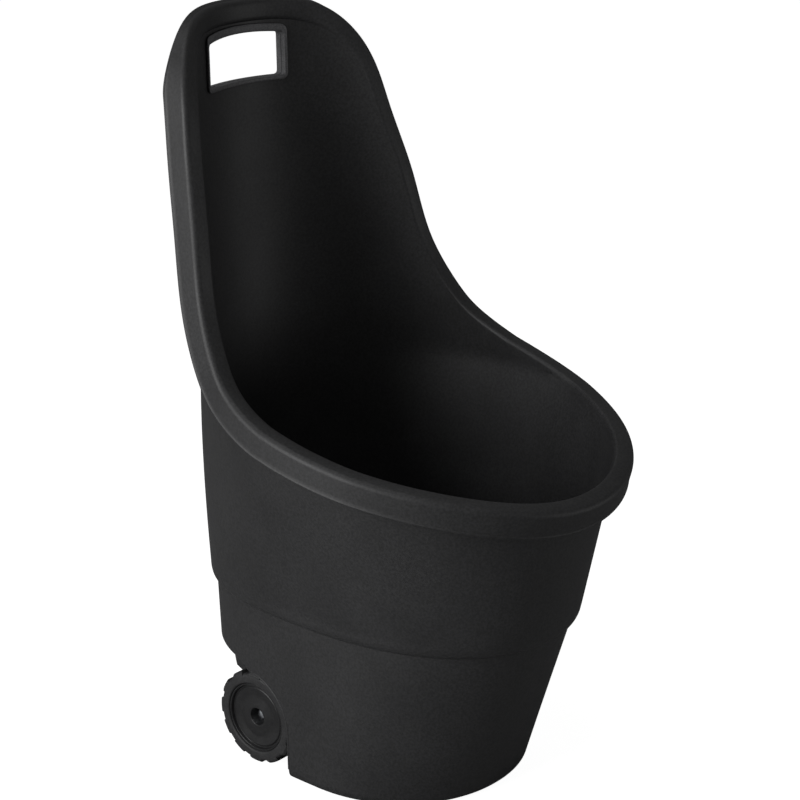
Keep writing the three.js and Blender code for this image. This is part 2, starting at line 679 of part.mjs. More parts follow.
function tyre() {
  const half = HALF_WHEEL;
  const halfPitch = Math.PI / LUG_COUNT;
  const root = WHEEL_RADIUS - LUG_HEIGHT;
  const seat = TYRE_SEAT_RADIUS + GAP;
  const carcass = turned([
    [seat, -half + SEAT_BEVEL],
    [seat + SEAT_BEVEL, -half],
    [root - SHOULDER_BEVEL, -half],
    [root, -half + SHOULDER_BEVEL],
    [root, half - SHOULDER_BEVEL],
    [root - SHOULDER_BEVEL, half],
    [seat + SEAT_BEVEL, half],
    [seat, half - SEAT_BEVEL],
  ]);
  const lugEnd = half - SHOULDER_BEVEL;
  return carcass.add(lugRow(0, 0, lugEnd)).add(lugRow(halfPitch, -lugEnd, 0.01));
}

function wheelHub() {
  const half = HALF_WHEEL;
  const bore = AXLE_RADIUS + RUNNING;
  const rim = TYRE_SEAT_RADIUS;
  const barrel = HUB_POCKET_RADIUS + HUB_WALL;
  const floor = half - HUB_POCKET_DEPTH;
  const dish = half - HUB_DISH;
  return turned([
    [bore, -half],
    [barrel, -half],
    [barrel, -HUB_WEB],
    [rim - HUB_SEAT, -HUB_WEB],
    [rim - HUB_SEAT / 2, HUB_FLANGE - half],
    [rim, HUB_FLANGE - half],
    [rim, half - HUB_FLANGE],
    [rim - HUB_SEAT / 3, half - HUB_FLANGE],
    [rim - HUB_SEAT / 2, half - HUB_GROOVE],
    [rim - HUB_SEAT * 0.75, half - HUB_GROOVE],
    [rim - HUB_SEAT, dish],
    [(rim + HUB_POCKET_RADIUS) / 2, dish - HUB_CONE],
    [barrel, dish],
    [HUB_POCKET_RADIUS, dish],
    [HUB_POCKET_RADIUS, floor],
    [bore, floor],
  ]);
}

const washer = () =>
  turned([
    [AXLE_RADIUS + GAP, -WASHER_THICKNESS / 2],
    [WASHER_RADIUS, -WASHER_THICKNESS / 2],
    [WASHER_RADIUS, WASHER_THICKNESS / 2],
    [AXLE_RADIUS + GAP, WASHER_THICKNESS / 2],
  ], 24);

// A push-on cap: a skirt round the axle's end under a low dome.
function pushCap() {
  const bore = AXLE_RADIUS + GAP;
  const outside = bore + CAP_WALL;
  const profile = [
    [0, 0],
    [bore, 0],
    [bore, -CAP_SKIRT],
    [outside, -CAP_SKIRT],
    [outside, CAP_SKIN],
  ];
  for (const turn of [30, 60]) {
    profile.push([outside * Math.cos(rad(turn)), CAP_SKIN + CAP_DOME * Math.sin(rad(turn))]);
  }
  profile.push([0, CAP_SKIN + CAP_DOME]);
  return turned(profile, 24);
}

const POCKET_FLOOR_X = WHEEL_OUTER_X - HUB_POCKET_DEPTH;
const OUTER_WASHER_X = POCKET_FLOOR_X + GAP + WASHER_THICKNESS / 2;
const INNER_WASHER_X = WHEEL_INNER_X - GAP - WASHER_THICKNESS / 2;
const CAP_X = OUTER_WASHER_X + WASHER_THICKNESS / 2 + GAP + CAP_SKIRT;
const AXLE_END_X = CAP_X - GAP;

function axleRod() {
  return turned([
    [0, -AXLE_END_X],
    [AXLE_RADIUS - AXLE_BEVEL, -AXLE_END_X],
    [AXLE_RADIUS, -AXLE_END_X + AXLE_BEVEL],
    [AXLE_RADIUS, AXLE_END_X - AXLE_BEVEL],
    [AXLE_RADIUS - AXLE_BEVEL, AXLE_END_X],
    [0, AXLE_END_X],
  ]);
}

// ---------------------------------------------------------------- materials and assembly

const plastic = (color, roughness) => new THREE.MeshStandardMaterial({ color, roughness, metalness: 0 });
const steel = () => new THREE.MeshStandardMaterial({ color: 0xc8ccd0, roughness: 0.3, metalness: 1 });
const tubPlastic = () => plastic(0x1b1c1e, 0.6);
const gripPlastic = () => plastic(0x5a5c5e, 0.7);
const hubPlastic = () => plastic(0x1a1a1b, 0.55);
const tyrePlastic = () => plastic(0x232323, 0.8);

function named(name, body, material) {
  const mesh = new THREE.Mesh(geometryOf(body), material);
  mesh.name = name;
  return mesh;
}

const cart = new THREE.Group();
cart.add(named("tub_shell", tubShell(), tubPlastic()));
const grip = gripHalves();
cart.add(named("grip_liner_front", grip.front, gripPlastic()));
cart.add(named("grip_liner_rear", grip.rear, gripPlastic()));

const axleGroup = new THREE.Group();
axleGroup.position.set(0, AXLE_Y, AXLE_Z);
axleGroup.add(named("axle_rod", axleRod(), steel()));
for (const [side, sign] of [["left", -1], ["right", 1]]) {
  const pieces = [
    [`tyre_${side}`, tyre(), tyrePlastic(), WHEEL_OUTER_X - HALF_WHEEL],
    [`wheel_hub_${side}`, wheelHub(), hubPlastic(), WHEEL_OUTER_X - HALF_WHEEL],
    [`inner_washer_${side}`, washer(), steel(), INNER_WASHER_X],
    [`outer_washer_${side}`, washer(), steel(), OUTER_WASHER_X],
    [`push_cap_${side}`, pushCap(), steel(), CAP_X],
  ];
  for (const [name, body, material, x] of pieces) {
    const mesh = named(name, body, material);
    mesh.position.x = sign * x;
    mesh.rotation.z = sign > 0 ? 0 : Math.PI;
    axleGroup.add(mesh);
  }
}
cart.add(axleGroup);

// The origin is under the middle of the cart's footprint.
const footprint = new THREE.Box3().setFromObject(cart, true);
cart.position.y = -(footprint.min.y + footprint.max.y) / 2;

export default cart;
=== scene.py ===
"""Builds the looks of a moulded two-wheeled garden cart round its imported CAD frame.

The cart is one injection-moulded tub whose rear wall climbs into a handle with a lined finger
opening. Two lugged wheels turn on a zinc-plated axle that snaps into moulded clips under it.
Sizes are in millimetres in the classes and become metres where a mesh is made. The low lip
faces -Y, the handle is at +Y, the axle lies along X and Z is up.
"""

import logging
import math
from collections.abc import Callable, Sequence
from dataclasses import dataclass, field
from enum import Enum

import bmesh
import bpy
import numpy as np
from mathutils import Matrix, Vector


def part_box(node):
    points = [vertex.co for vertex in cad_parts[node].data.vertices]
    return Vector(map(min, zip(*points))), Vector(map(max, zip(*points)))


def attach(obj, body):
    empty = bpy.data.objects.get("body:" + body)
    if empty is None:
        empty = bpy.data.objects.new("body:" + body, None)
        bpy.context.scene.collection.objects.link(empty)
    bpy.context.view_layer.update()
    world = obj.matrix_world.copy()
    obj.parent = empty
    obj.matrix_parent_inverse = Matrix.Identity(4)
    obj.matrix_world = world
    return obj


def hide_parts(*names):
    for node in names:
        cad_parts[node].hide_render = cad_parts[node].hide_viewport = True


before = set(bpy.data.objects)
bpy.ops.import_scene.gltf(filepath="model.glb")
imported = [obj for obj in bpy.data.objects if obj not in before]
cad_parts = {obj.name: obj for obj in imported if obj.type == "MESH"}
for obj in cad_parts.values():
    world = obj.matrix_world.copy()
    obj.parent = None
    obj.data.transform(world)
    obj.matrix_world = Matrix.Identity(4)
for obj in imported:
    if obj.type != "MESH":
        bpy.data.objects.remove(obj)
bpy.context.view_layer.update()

LOG = logging.getLogger("garden_cart")
MM = 0.001
AXLE_Y = 100.5  # from the middle of the tub's plans to the axle

Point2 = tuple[float, float]
Point3 = tuple[float, float, float]
Rows = list[np.ndarray]
Socket = bpy.types.NodeSocket


class Side(Enum):
    """The two sides of the cart, with the sign of X on each."""

    LEFT = ("left", -1)
    RIGHT = ("right", 1)

    def __init__(self, word: str, sign: int) -> None:
        """Keeps the side's word for names and its sign for places."""
        self.word = word
        self.sign = sign


class Body(Enum):
    """The CAD bodies that pieces ride on."""

    CART = "cart"
    WHEEL_LEFT = "wheel_left"
    WHEEL_RIGHT = "wheel_right"

    @staticmethod
    def wheel(side: Side) -> "Body":
        """The wheel body of one side."""
        return Body.WHEEL_LEFT if side is Side.LEFT else Body.WHEEL_RIGHT


# ------------------------------------------------------------------ outlines and meshes


def arc_between(centre: np.ndarray, start: np.ndarray, end: np.ndarray, steps: int) -> list[np.ndarray]:
    """Points of the shorter arc from start to end.

    Args:
        centre: Middle of the arc.
        start: First point.
        end: Last point.
        steps: Number of chords.

    Returns:
        The points, both ends included.
    """
    a, b = start - centre, end - centre
    first = math.atan2(a[1], a[0])
    turn = (math.atan2(b[1], b[0]) - first + math.pi) % (2 * math.pi) - math.pi
    radius = float(np.hypot(*a))
    angles = [first + turn * k / steps for k in range(steps + 1)]
    return [centre + radius * np.array([math.cos(t), math.sin(t)]) for t in angles]


def rounded(points: Sequence[Point2], radii: Sequence[float], steps: int) -> list[Point2]:
    """Turns an outline's corners into arcs.

    Args:
        points: Corners of the outline, which closes on itself.
        radii: One radius for each corner; 0 keeps the corner.
        steps: Chords of each arc.

    Returns:
        The outline with its arcs.
    """
    corners = [np.array(p, float) for p in points]
    count = len(corners)
    made: list[np.ndarray] = []
    for i, corner in enumerate(corners):
        if radii[i] <= 0:
            made.append(corner)
            continue
        before, after = corners[i - 1] - corner, corners[(i + 1) % count] - corner
        reach_limit = 0.49 * min(np.hypot(*before), np.hypot(*after))
        u, v = before / np.hypot(*before), after / np.hypot(*after)
        half = math.acos(float(np.clip(u @ v, -0.9999, 0.9999))) / 2
        reach = min(radii[i] / math.tan(half), reach_limit)
        middle = (u + v) / np.hypot(*(u + v))
        centre = corner + middle * (reach / math.cos(half))
        made.extend(arc_between(centre, corner + u * reach, corner + v * reach, steps))
    return [(float(p[0]), float(p[1])) for p in made]


def mesh_shift() -> Vector:
    """How far the frame's origin lies from the middle of the tub's plans, from the axle's place."""
    low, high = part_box("axle_rod")
    return Vector((0, (low[1] + high[1]) / 2 - AXLE_Y * MM, 0))


def mesh_object(name: str, points: np.ndarray, faces: list[Sequence[int]]) -> bpy.types.Object:
    """Makes a mesh object from points in millimetres, with its faces turned outwards.

    Args:
        name: Name of the piece.
        points: One row of X, Y, Z for each vertex.
        faces: Vertex numbers of each face.

    Returns:
        The object, linked to the scene.
    """
    mesh = bpy.data.meshes.new(name)
    mesh.from_pydata((points * MM + np.array(mesh_shift())).tolist(), [], faces)
    mesh.validate()
    body = bmesh.new()
    body.from_mesh(mesh)
    bmesh.ops.recalc_face_normals(body, faces=body.faces)
    body.to_mesh(mesh)
    body.free()
    made = bpy.data.objects.new(name, mesh)
    bpy.context.scene.collection.objects.link(made)
    return made


def band(a: int, b: int, count: int) -> list[Sequence[int]]:
    """Faces between two rings of as many points, which start at vertices a and b."""
    following = [(i + 1) % count for i in range(count)]
    return [(a + i, a + j, b + j, b + i) for i, j in enumerate(following)]


def ring_object(
    name: str,
    rows: Rows,
    first_middle: np.ndarray | None = None,
    last_middle: np.ndarray | None = None,
) -> bpy.types.Object:
    """Skins rows of points, each a closed ring, into one closed surface.

    Args:
        name: Name of the piece.
        rows: Rings with the same number of points.
        first_middle: Point that closes the first ring, or None where the last ring joins it.
        last_middle: Point that closes the last ring.

    Returns:
        The closed mesh object.
    """
    count = len(rows[0])
    points = np.vstack(rows)
    faces: list[Sequence[int]] = []
    is_loop = first_middle is None
    last = len(rows) if is_loop else len(rows) - 1
    for row in range(last):
        faces += band(row * count, ((row + 1) % len(rows)) * count, count)
    if not is_loop:
        end = (len(rows) - 1) * count
        points = np.vstack([points, first_middle, last_middle])
        for i in range(count):
            j = (i + 1) % count
            faces.append((j, i, len(points) - 2))
            faces.append((end + i, end + j, len(points) - 1))
    return mesh_object(name, points, faces)


def turned(name: str, profile: Sequence[Point2], sides: int = 128) -> bpy.types.Object:
    """Turns a profile of (radius, along) pairs about the X axis.

    Args:
        name: Name of the piece.
        profile: Outline that closes on itself, or that starts and ends on the axis.
        sides: Number of sides.

    Returns:
        The closed mesh object, round the X axis.
    """
    angles = np.linspace(0, 2 * math.pi, sides, endpoint=False)
    ring = np.column_stack([np.zeros(sides), np.cos(angles), np.sin(angles)])
    row_of = lambda radius, along: ring * radius + np.array([along, 0, 0])
    on_axis = profile[0][0] == 0
    inner = profile[1:-1] if on_axis else profile
    rows = [row_of(radius, along) for radius, along in inner]
    if not on_axis:
        return ring_object(name, rows)
    ends = [np.array([profile[k][1], 0, 0]) for k in (0, -1)]
    return ring_object(name, rows, *ends)


def prism(
    name: str,
    outline: Sequence[Point2],
    levels: Sequence[float],
    to_space: Callable[[Point2, float], Point3],
) -> bpy.types.Object:
    """Runs a flat outline through levels of a third direction.

    Args:
        name: Name of the piece.
        outline: Corners of the outline.
        levels: Places along the run, at least two.
        to_space: Gives X, Y, Z for a corner at a level.

    Returns:
        The closed mesh object, with flat ends.
    """
    rows = [np.array([to_space(p, level) for p in outline], float) for level in levels]
    points = np.vstack(rows)
    count, total = len(outline), len(points)
    faces: list[Sequence[int]] = [tuple(range(count)), tuple(range(total - 1, total - count - 1, -1))]
    for row in range(len(levels) - 1):
        faces += band(row * count, (row + 1) * count, count)
    return mesh_object(name, points, faces)


class Cut(Enum):
    """What a boolean does with its second solid."""

    ADD = "UNION"
    TAKE = "DIFFERENCE"
    KEEP_COMMON = "INTERSECT"


def combine(target: bpy.types.Object, tool: bpy.types.Object, cut: Cut) -> None:
    """Joins or cuts one closed mesh with another, which is then removed.

    Args:
        target: The solid that stays.
        tool: The solid that is used up.
        cut: What is done with it.
    """
    change = target.modifiers.new("cut", "BOOLEAN")
    change.operation = cut.value
    change.solver = "MANIFOLD"
    change.object = tool
    graph = bpy.context.evaluated_depsgraph_get()
    result = bpy.data.meshes.new_from_object(target.evaluated_get(graph))
    target.modifiers.clear()
    target.data = result
    bpy.data.objects.remove(tool)


def joined(name: str, parts: Sequence[bpy.types.Object]) -> bpy.types.Object:
    """Puts separate solids into one mesh object.

    Args:
        name: Name of the joined object.
        parts: Objects that are used up.

    Returns:
        The joined object.
    """
    whole = bmesh.new()
    for part in parts:
        part.data.transform(part.matrix_world)
        whole.from_mesh(part.data)
        bpy.data.objects.remove(part)
    mesh = bpy.data.meshes.new(name)
    whole.to_mesh(mesh)
    whole.free()
    made = bpy.data.objects.new(name, mesh)
    bpy.context.scene.collection.objects.link(made)
    return made


def smooth(piece: bpy.types.Object, sharp_above_deg: float = 32) -> None:
    """Shades a piece smooth, with an edge wherever it folds by more than an angle."""
    piece.data.shade_smooth()
    piece.data.set_sharp_from_angle(angle=math.radians(sharp_above_deg))


# ------------------------------------------------------------------ finishes


def linear(hex_colour: str) -> tuple[float, float, float, float]:
    """Turns an sRGB hex colour into Blender's linear colour.

    Args:
        hex_colour: Six hex digits after a hash.

    Returns:
        Red, green, blue and alpha.
    """
    parts = [int(hex_colour[i : i + 2], 16) / 255 for i in (1, 3, 5)]
    red, green, blue = [p / 12.92 if p <= 0.04045 else ((p + 0.055) / 1.055) ** 2.4 for p in parts]
    return (red, green, blue, 1.0)


def add_node(
    tree: bpy.types.NodeTree, kind: str, settings: dict | None = None, inputs: dict | None = None
) -> bpy.types.Node:
    """Adds a node with its settings, its values and its links.

    Args:
        tree: Node tree of the material.
        kind: Blender's name for the node's type.
        settings: Properties of the node.
        inputs: A value, or a socket to link from, for each named or numbered input.

    Returns:
        The new node.
    """
    node = tree.nodes.new(kind)
    for key, value in (settings or {}).items():
        setattr(node, key, value)
    for key, value in (inputs or {}).items():
        if isinstance(value, Socket):
            tree.links.new(value, node.inputs[key])
        else:
            node.inputs[key].default_value = value
    return node


@dataclass(frozen=True)
class Finish:
    """A finish that one material slot names."""

    name: str
    slot: str
    colour: str
    shade: str
    roughness: float
    roughness_spread: float

    def material(self) -> bpy.types.Material:
        """The finish as a material, made once."""
        made = bpy.data.materials.get(self.name)
        if made is not None:
            return made
        made = bpy.data.materials.new(self.name)
        made.use_nodes = True
        tree = made.node_tree
        tree.nodes.clear()
        where = add_node(tree, "ShaderNodeTexCoord").outputs["Object"]
        shader = add_node(tree, "ShaderNodeBsdfPrincipled")
        self.fill(tree, where, shader)
        add_node(tree, "ShaderNodeOutputMaterial", inputs={"Surface": shader.outputs["BSDF"]})
        return made

    def fill(self, tree: bpy.types.NodeTree, where: Socket, shader: bpy.types.Node) -> None:
        """Sets the shader's sockets; each kind of finish has its own."""
        raise NotImplementedError

    def noise(self, tree: bpy.types.NodeTree, where: Socket, size_mm: float, detail: float = 3) -> Socket:
        """A noise pattern whose blotches have a real size.

        Args:
            tree: Node tree of the material.
            where: Place on the piece, in metres.
            size_mm: Size of a blotch.
            detail: Octaves of finer noise.

        Returns:
            The pattern's factor, round 0.5.
        """
        settings = {"Vector": where, "Scale": 1 / (size_mm * MM), "Detail": detail, "Roughness": 0.55}
        return add_node(tree, "ShaderNodeTexNoise", inputs=settings).outputs["Fac"]

    def blend(
        self, tree: bpy.types.NodeTree, factor: Socket, low: float, high: float, first: str, second: str
    ) -> Socket:
        """Blends two colours as a pattern goes from low to high."""
        ramp = add_node(tree, "ShaderNodeValToRGB", inputs={"Fac": factor})
        ramp.color_ramp.elements[0].position = low
        ramp.color_ramp.elements[0].color = linear(first)
        ramp.color_ramp.elements[1].position = high
        ramp.color_ramp.elements[1].color = linear(second)
        return ramp.outputs["Color"]

    def vary_roughness(self, tree: bpy.types.NodeTree, factor: Socket, shader: bpy.types.Node) -> None:
        """Lets a pattern move the roughness by the finish's spread."""
        low, high = self.roughness - self.roughness_spread, self.roughness + self.roughness_spread
        limits = {"Value": factor, "From Min": 0.3, "From Max": 0.7, "To Min": low, "To Max": high}
        moved = add_node(tree, "ShaderNodeMapRange", inputs=limits)
        tree.links.new(moved.outputs["Result"], shader.inputs["Roughness"])

    def dent(
        self,
        tree: bpy.types.NodeTree,
        height: Socket,
        strength: float,
        depth_mm: float,
        shader: bpy.types.Node,
    ) -> None:
        """Lets a pattern dent the surface."""
        inputs = {"Strength": strength, "Distance": depth_mm * MM, "Height": height}
        dents = add_node(tree, "ShaderNodeBump", inputs=inputs)
        tree.links.new(dents.outputs["Normal"], shader.inputs["Normal"])


@dataclass(frozen=True)
class MouldedPlastic(Finish):
    """A thermoplastic as it leaves a steel mould.

    The mould's spark-eroded walls leave a fine even grain that spreads the highlights, and the
    melt's flow leaves faint cloudy changes of gloss.
    """

    grain_mm: float = 1.1
    grain_depth_mm: float = 0.05
    cloud_mm: float = 90
    specks_per_grain: float = 2.2
    fleck_share: float = 0.8
    ior: float = 1.49

    def fill(self, tree: bpy.types.NodeTree, where: Socket, shader: bpy.types.Node) -> None:
        """Sets colour, gloss and grain."""
        cloud = self.noise(tree, where, self.cloud_mm)
        speck = self.noise(tree, where, self.grain_mm * self.specks_per_grain, detail=2)
        tone = self.blend(tree, cloud, 0.3, 0.7, self.colour, self.shade)
        fleck = self.blend(tree, speck, 0.35, 0.65, "#b4b4b4", "#ffffff")
        multiply = {"data_type": "RGBA", "blend_type": "MULTIPLY"}
        mixed = add_node(tree, "ShaderNodeMix", multiply, {0: self.fleck_share, 6: tone, 7: fleck})
        tree.links.new(mixed.outputs[2], shader.inputs["Base Color"])
        shader.inputs["IOR"].default_value = self.ior
        self.vary_roughness(tree, cloud, shader)
        grain = self.noise(tree, where, self.grain_mm, detail=1)
        self.dent(tree, grain, 0.6, self.grain_depth_mm, shader)


@dataclass(frozen=True)
class PlatedSteel(Finish):
    """Bright zinc on turned steel, whose lathe marks run in rings round the axis."""

    patch_mm: float = 4
    ring_mm: float = 0.5
    ring_depth_mm: float = 0.02
    rings_per_scale: float = 6

    def fill(self, tree: bpy.types.NodeTree, where: Socket, shader: bpy.types.Node) -> None:
        """Sets metal colour, gloss and turning marks."""
        shader.inputs["Metallic"].default_value = 1.0
        patches = self.noise(tree, where, self.patch_mm, detail=4)
        tone = self.blend(tree, patches, 0.35, 0.7, self.colour, self.shade)
        tree.links.new(tone, shader.inputs["Base Color"])
        self.vary_roughness(tree, patches, shader)
        settings = {"wave_type": "BANDS", "bands_direction": "X"}
        spacing = {"Vector": where, "Scale": 1 / (self.ring_mm * MM * self.rings_per_scale)}
        marks = add_node(tree, "ShaderNodeTexWave", settings, spacing)
        self.dent(tree, marks.outputs["Fac"], 0.3, self.ring_depth_mm, shader)


# Polypropylene with carbon black, moulded against a spark-eroded cavity: a soft grey sheen where
# light grazes it and a deep black where it doesn't. The real grain of about 0.4 mm would vanish
# at this distance, so it is drawn about three times as coarse.
TUB = MouldedPlastic(
    "moulded_black_polypropylene", "tub", "#2b2b2c", "#333334",
    roughness=0.54, roughness_spread=0.05, grain_mm=1.3, grain_depth_mm=0.11, cloud_mm=110,
)
# Grey polypropylene from a smoother cavity: an even satin face.
GRIP = MouldedPlastic(
    "moulded_grey_polypropylene", "grip", "#5e5e60", "#69696b",
    roughness=0.5, roughness_spread=0.05, grain_mm=0.8, grain_depth_mm=0.02, cloud_mm=30,
)
# Black polypropylene of the wheel: slightly glossier than the tub, with the faint swirl of a
# centre-gated disc.
HUB = MouldedPlastic(
    "moulded_black_wheel_polypropylene", "hub", "#1f1f20", "#282829",
    roughness=0.42, roughness_spread=0.06, grain_mm=0.9, grain_depth_mm=0.03, cloud_mm=24,
)
# Filled polyethylene tread: dry and matte, because the filler roughens its skin.
TYRE = MouldedPlastic(
    "moulded_black_tread_polyethylene", "tyre", "#2a2a2b", "#343435",
    roughness=0.62, roughness_spread=0.06, grain_mm=1.0, grain_depth_mm=0.09, cloud_mm=18,
)
# Zinc-plated steel: pale, slightly blue, with soft patches from the plating bath.
STEEL = PlatedSteel(
    "zinc_plated_turned_steel", "steel", "#c4c9cf", "#e4e7ea",
    roughness=0.34, roughness_spread=0.08,
)


def dress(
    piece: bpy.types.Object, finish: Finish, body: Body, nodes: Sequence[str] = ()
) -> bpy.types.Object:
    """Gives a piece its finish, its body and the CAD nodes that it stands for.

    Args:
        piece: Finished mesh object.
        finish: The finish that covers it.
        body: The CAD body that it rides on.
        nodes: CAD nodes that it replaces.

    Returns:
        The same piece.
    """
    piece.data.materials.clear()
    piece.data.materials.append(finish.material())
    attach(piece, body.value)
    if nodes:
        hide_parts(*nodes)
    LOG.info("%s: %d faces, rides on %s", piece.name, len(piece.data.polygons), body.value)
    return piece


# ------------------------------------------------------------------ the tub's form


@dataclass
class TubForm:
    """The moulded wall: plans at four heights, joined by straight lines, with one step."""

    # height, half width, reach to front and rear, squareness of front and rear corners
    levels: tuple[tuple[float, ...], ...] = (
        (0, 152.5, 159, 216.5, 2.08, 2.9),
        (220, 156.5, 231.5, 234, 2.23, 2.68),
        (430, 208, 273, 234, 2.07, 2.0),
        (840, 188, 328.7, 243, 2.24, 2.05),
    )
    wall: float = 3.2
    step_z: float = 211
    step_rise: float = 14
    step_inset: float = 6
    corner_z: float = 117.5
    corner_round: float = 13
    corner_run: float = 46

    def plan(self, z: np.ndarray) -> np.ndarray:
        """Sizes of the outer plan at some heights.

        Args:
            z: Heights.

        Returns:
            Rows of half width, front, rear and the two squarenesses.
        """
        table = np.array(self.levels, float)
        sizes = np.array([np.interp(z, table[:, 0], table[:, k]) for k in range(1, table.shape[1])])
        drop = np.clip((self.step_z + self.step_rise / 2 - z) / self.step_rise, 0, 1)
        sizes[:3] -= self.step_inset * (1 - np.sqrt(np.maximum(0, 1 - drop**2)))
        return sizes

    def point(
        self,
        angle: np.ndarray,
        z: np.ndarray,
        inside: float | np.ndarray = 0,
        shape_z: np.ndarray | None = None,
    ) -> np.ndarray:
        """Places on the wall.

        Args:
            angle: Angles from the front, positive towards -X.
            z: Heights.
            inside: Depth below the outer face.
            shape_z: Heights whose plans are used, where they differ from z.

        Returns:
            One row of X, Y, Z for each angle.
        """
        angle = np.atleast_1d(np.asarray(angle, float))
        z = np.broadcast_to(np.asarray(z, float), angle.shape)
        plan_z = z if shape_z is None else np.broadcast_to(shape_z, angle.shape)
        half, front, rear, square_front, square_rear = self.plan(plan_z)
        s, c = np.sin(angle), np.cos(angle)
        power = 2 / np.where(c > 0, square_front, square_rear)
        behind = np.where(c > 0, 0, rear * np.abs(c) ** power)
        inside = inside + self.tuck(behind, z, inside)
        reach = np.where(c > 0, inside - front, rear - inside)
        x = (inside - half) * np.sign(s) * np.abs(s) ** power
        return np.column_stack([x, reach * np.abs(c) ** power, z])

    def tuck(self, behind: np.ndarray, z: np.ndarray, inside: float | np.ndarray) -> np.ndarray:
        """How far the rounded lower edge of the rear wall, over the wheels, draws the wall in.

        Args:
            behind: How far back the places lie.
            z: Heights.
            inside: Depth below the outer face.

        Returns:
            Depths, which are zero in front of the axle and above the rounded edge.
        """
        run = np.clip((behind - AXLE_Y) / self.corner_run, 0, 1)
        radius = self.corner_round - np.minimum(inside, self.corner_round - 1)
        drop = np.clip((self.corner_z + self.corner_round - z) / radius, 0, 1)
        return radius * (1 - np.sqrt(1 - drop**2)) * run * run * (3 - 2 * run)

    def normal(self, angle: np.ndarray, z: np.ndarray) -> np.ndarray:
        """Outward directions of the wall at some places."""
        aside, above = 0.01, 1
        around = self.point(angle + aside, z) - self.point(angle - aside, z)
        rise = self.point(angle, z + above) - self.point(angle, z - above)
        return unit(np.cross(rise, around))

    def rear_y(self, x: np.ndarray, z: np.ndarray) -> np.ndarray:
        """How far back the rear wall's outer face lies."""
        half, _, rear, _, square = self.plan(z)
        return rear * (1 - np.abs(x / half) ** square) ** (1 / square)

    def side_x(self, y: float, z: float, inside: float) -> float:
        """Half width of the body at a place of its rear half, drawn in by a depth."""
        half, _, rear, _, square = self.plan(np.array([z]))[:, 0]
        return float((half - inside) * (1 - abs(y / (rear - inside)) ** square) ** (1 / square))


def spline(
    knots: np.ndarray, values: np.ndarray, level_ends: bool
) -> Callable[[np.ndarray], np.ndarray]:
    """A cubic spline through values at knots.

    Args:
        knots: Places along the curve, rising.
        values: Value at each knot.
        level_ends: True for no slope at the ends, False for no bend there.

    Returns:
        A function that gives the values at any places.
    """
    count = len(knots)
    gaps, slopes = np.diff(knots), np.diff(values) / np.diff(knots)
    matrix, right = np.zeros((count, count)), np.zeros(count)
    for i in range(1, count - 1):
        matrix[i, i - 1 : i + 2] = gaps[i - 1] / 6, (gaps[i - 1] + gaps[i]) / 3, gaps[i] / 6
        right[i] = slopes[i] - slopes[i - 1]
    matrix[0, 0] = matrix[-1, -1] = 1
    if level_ends:
        matrix[0, :2] = gaps[0] / 3, gaps[0] / 6
        matrix[-1, -2:] = gaps[-1] / 6, gaps[-1] / 3
        right[0], right[-1] = slopes[0], -slopes[-1]
    bends = np.linalg.solve(matrix, right)

    def value(place: np.ndarray) -> np.ndarray:
        """The spline's value at some places."""
        i = np.clip(np.searchsorted(knots, place) - 1, 0, count - 2)
        gap = gaps[i]
        a, b = (knots[i + 1] - place) / gap, (place - knots[i]) / gap
        bend = ((a**3 - a) * bends[i] + (b**3 - b) * bends[i + 1]) * gap**2 / 6
        return a * values[i] + b * values[i + 1] + bend

    return value


def unit(vectors: np.ndarray) -> np.ndarray:
    """Each row of vectors at length one."""
    return vectors / np.linalg.norm(vectors, axis=1, keepdims=True)


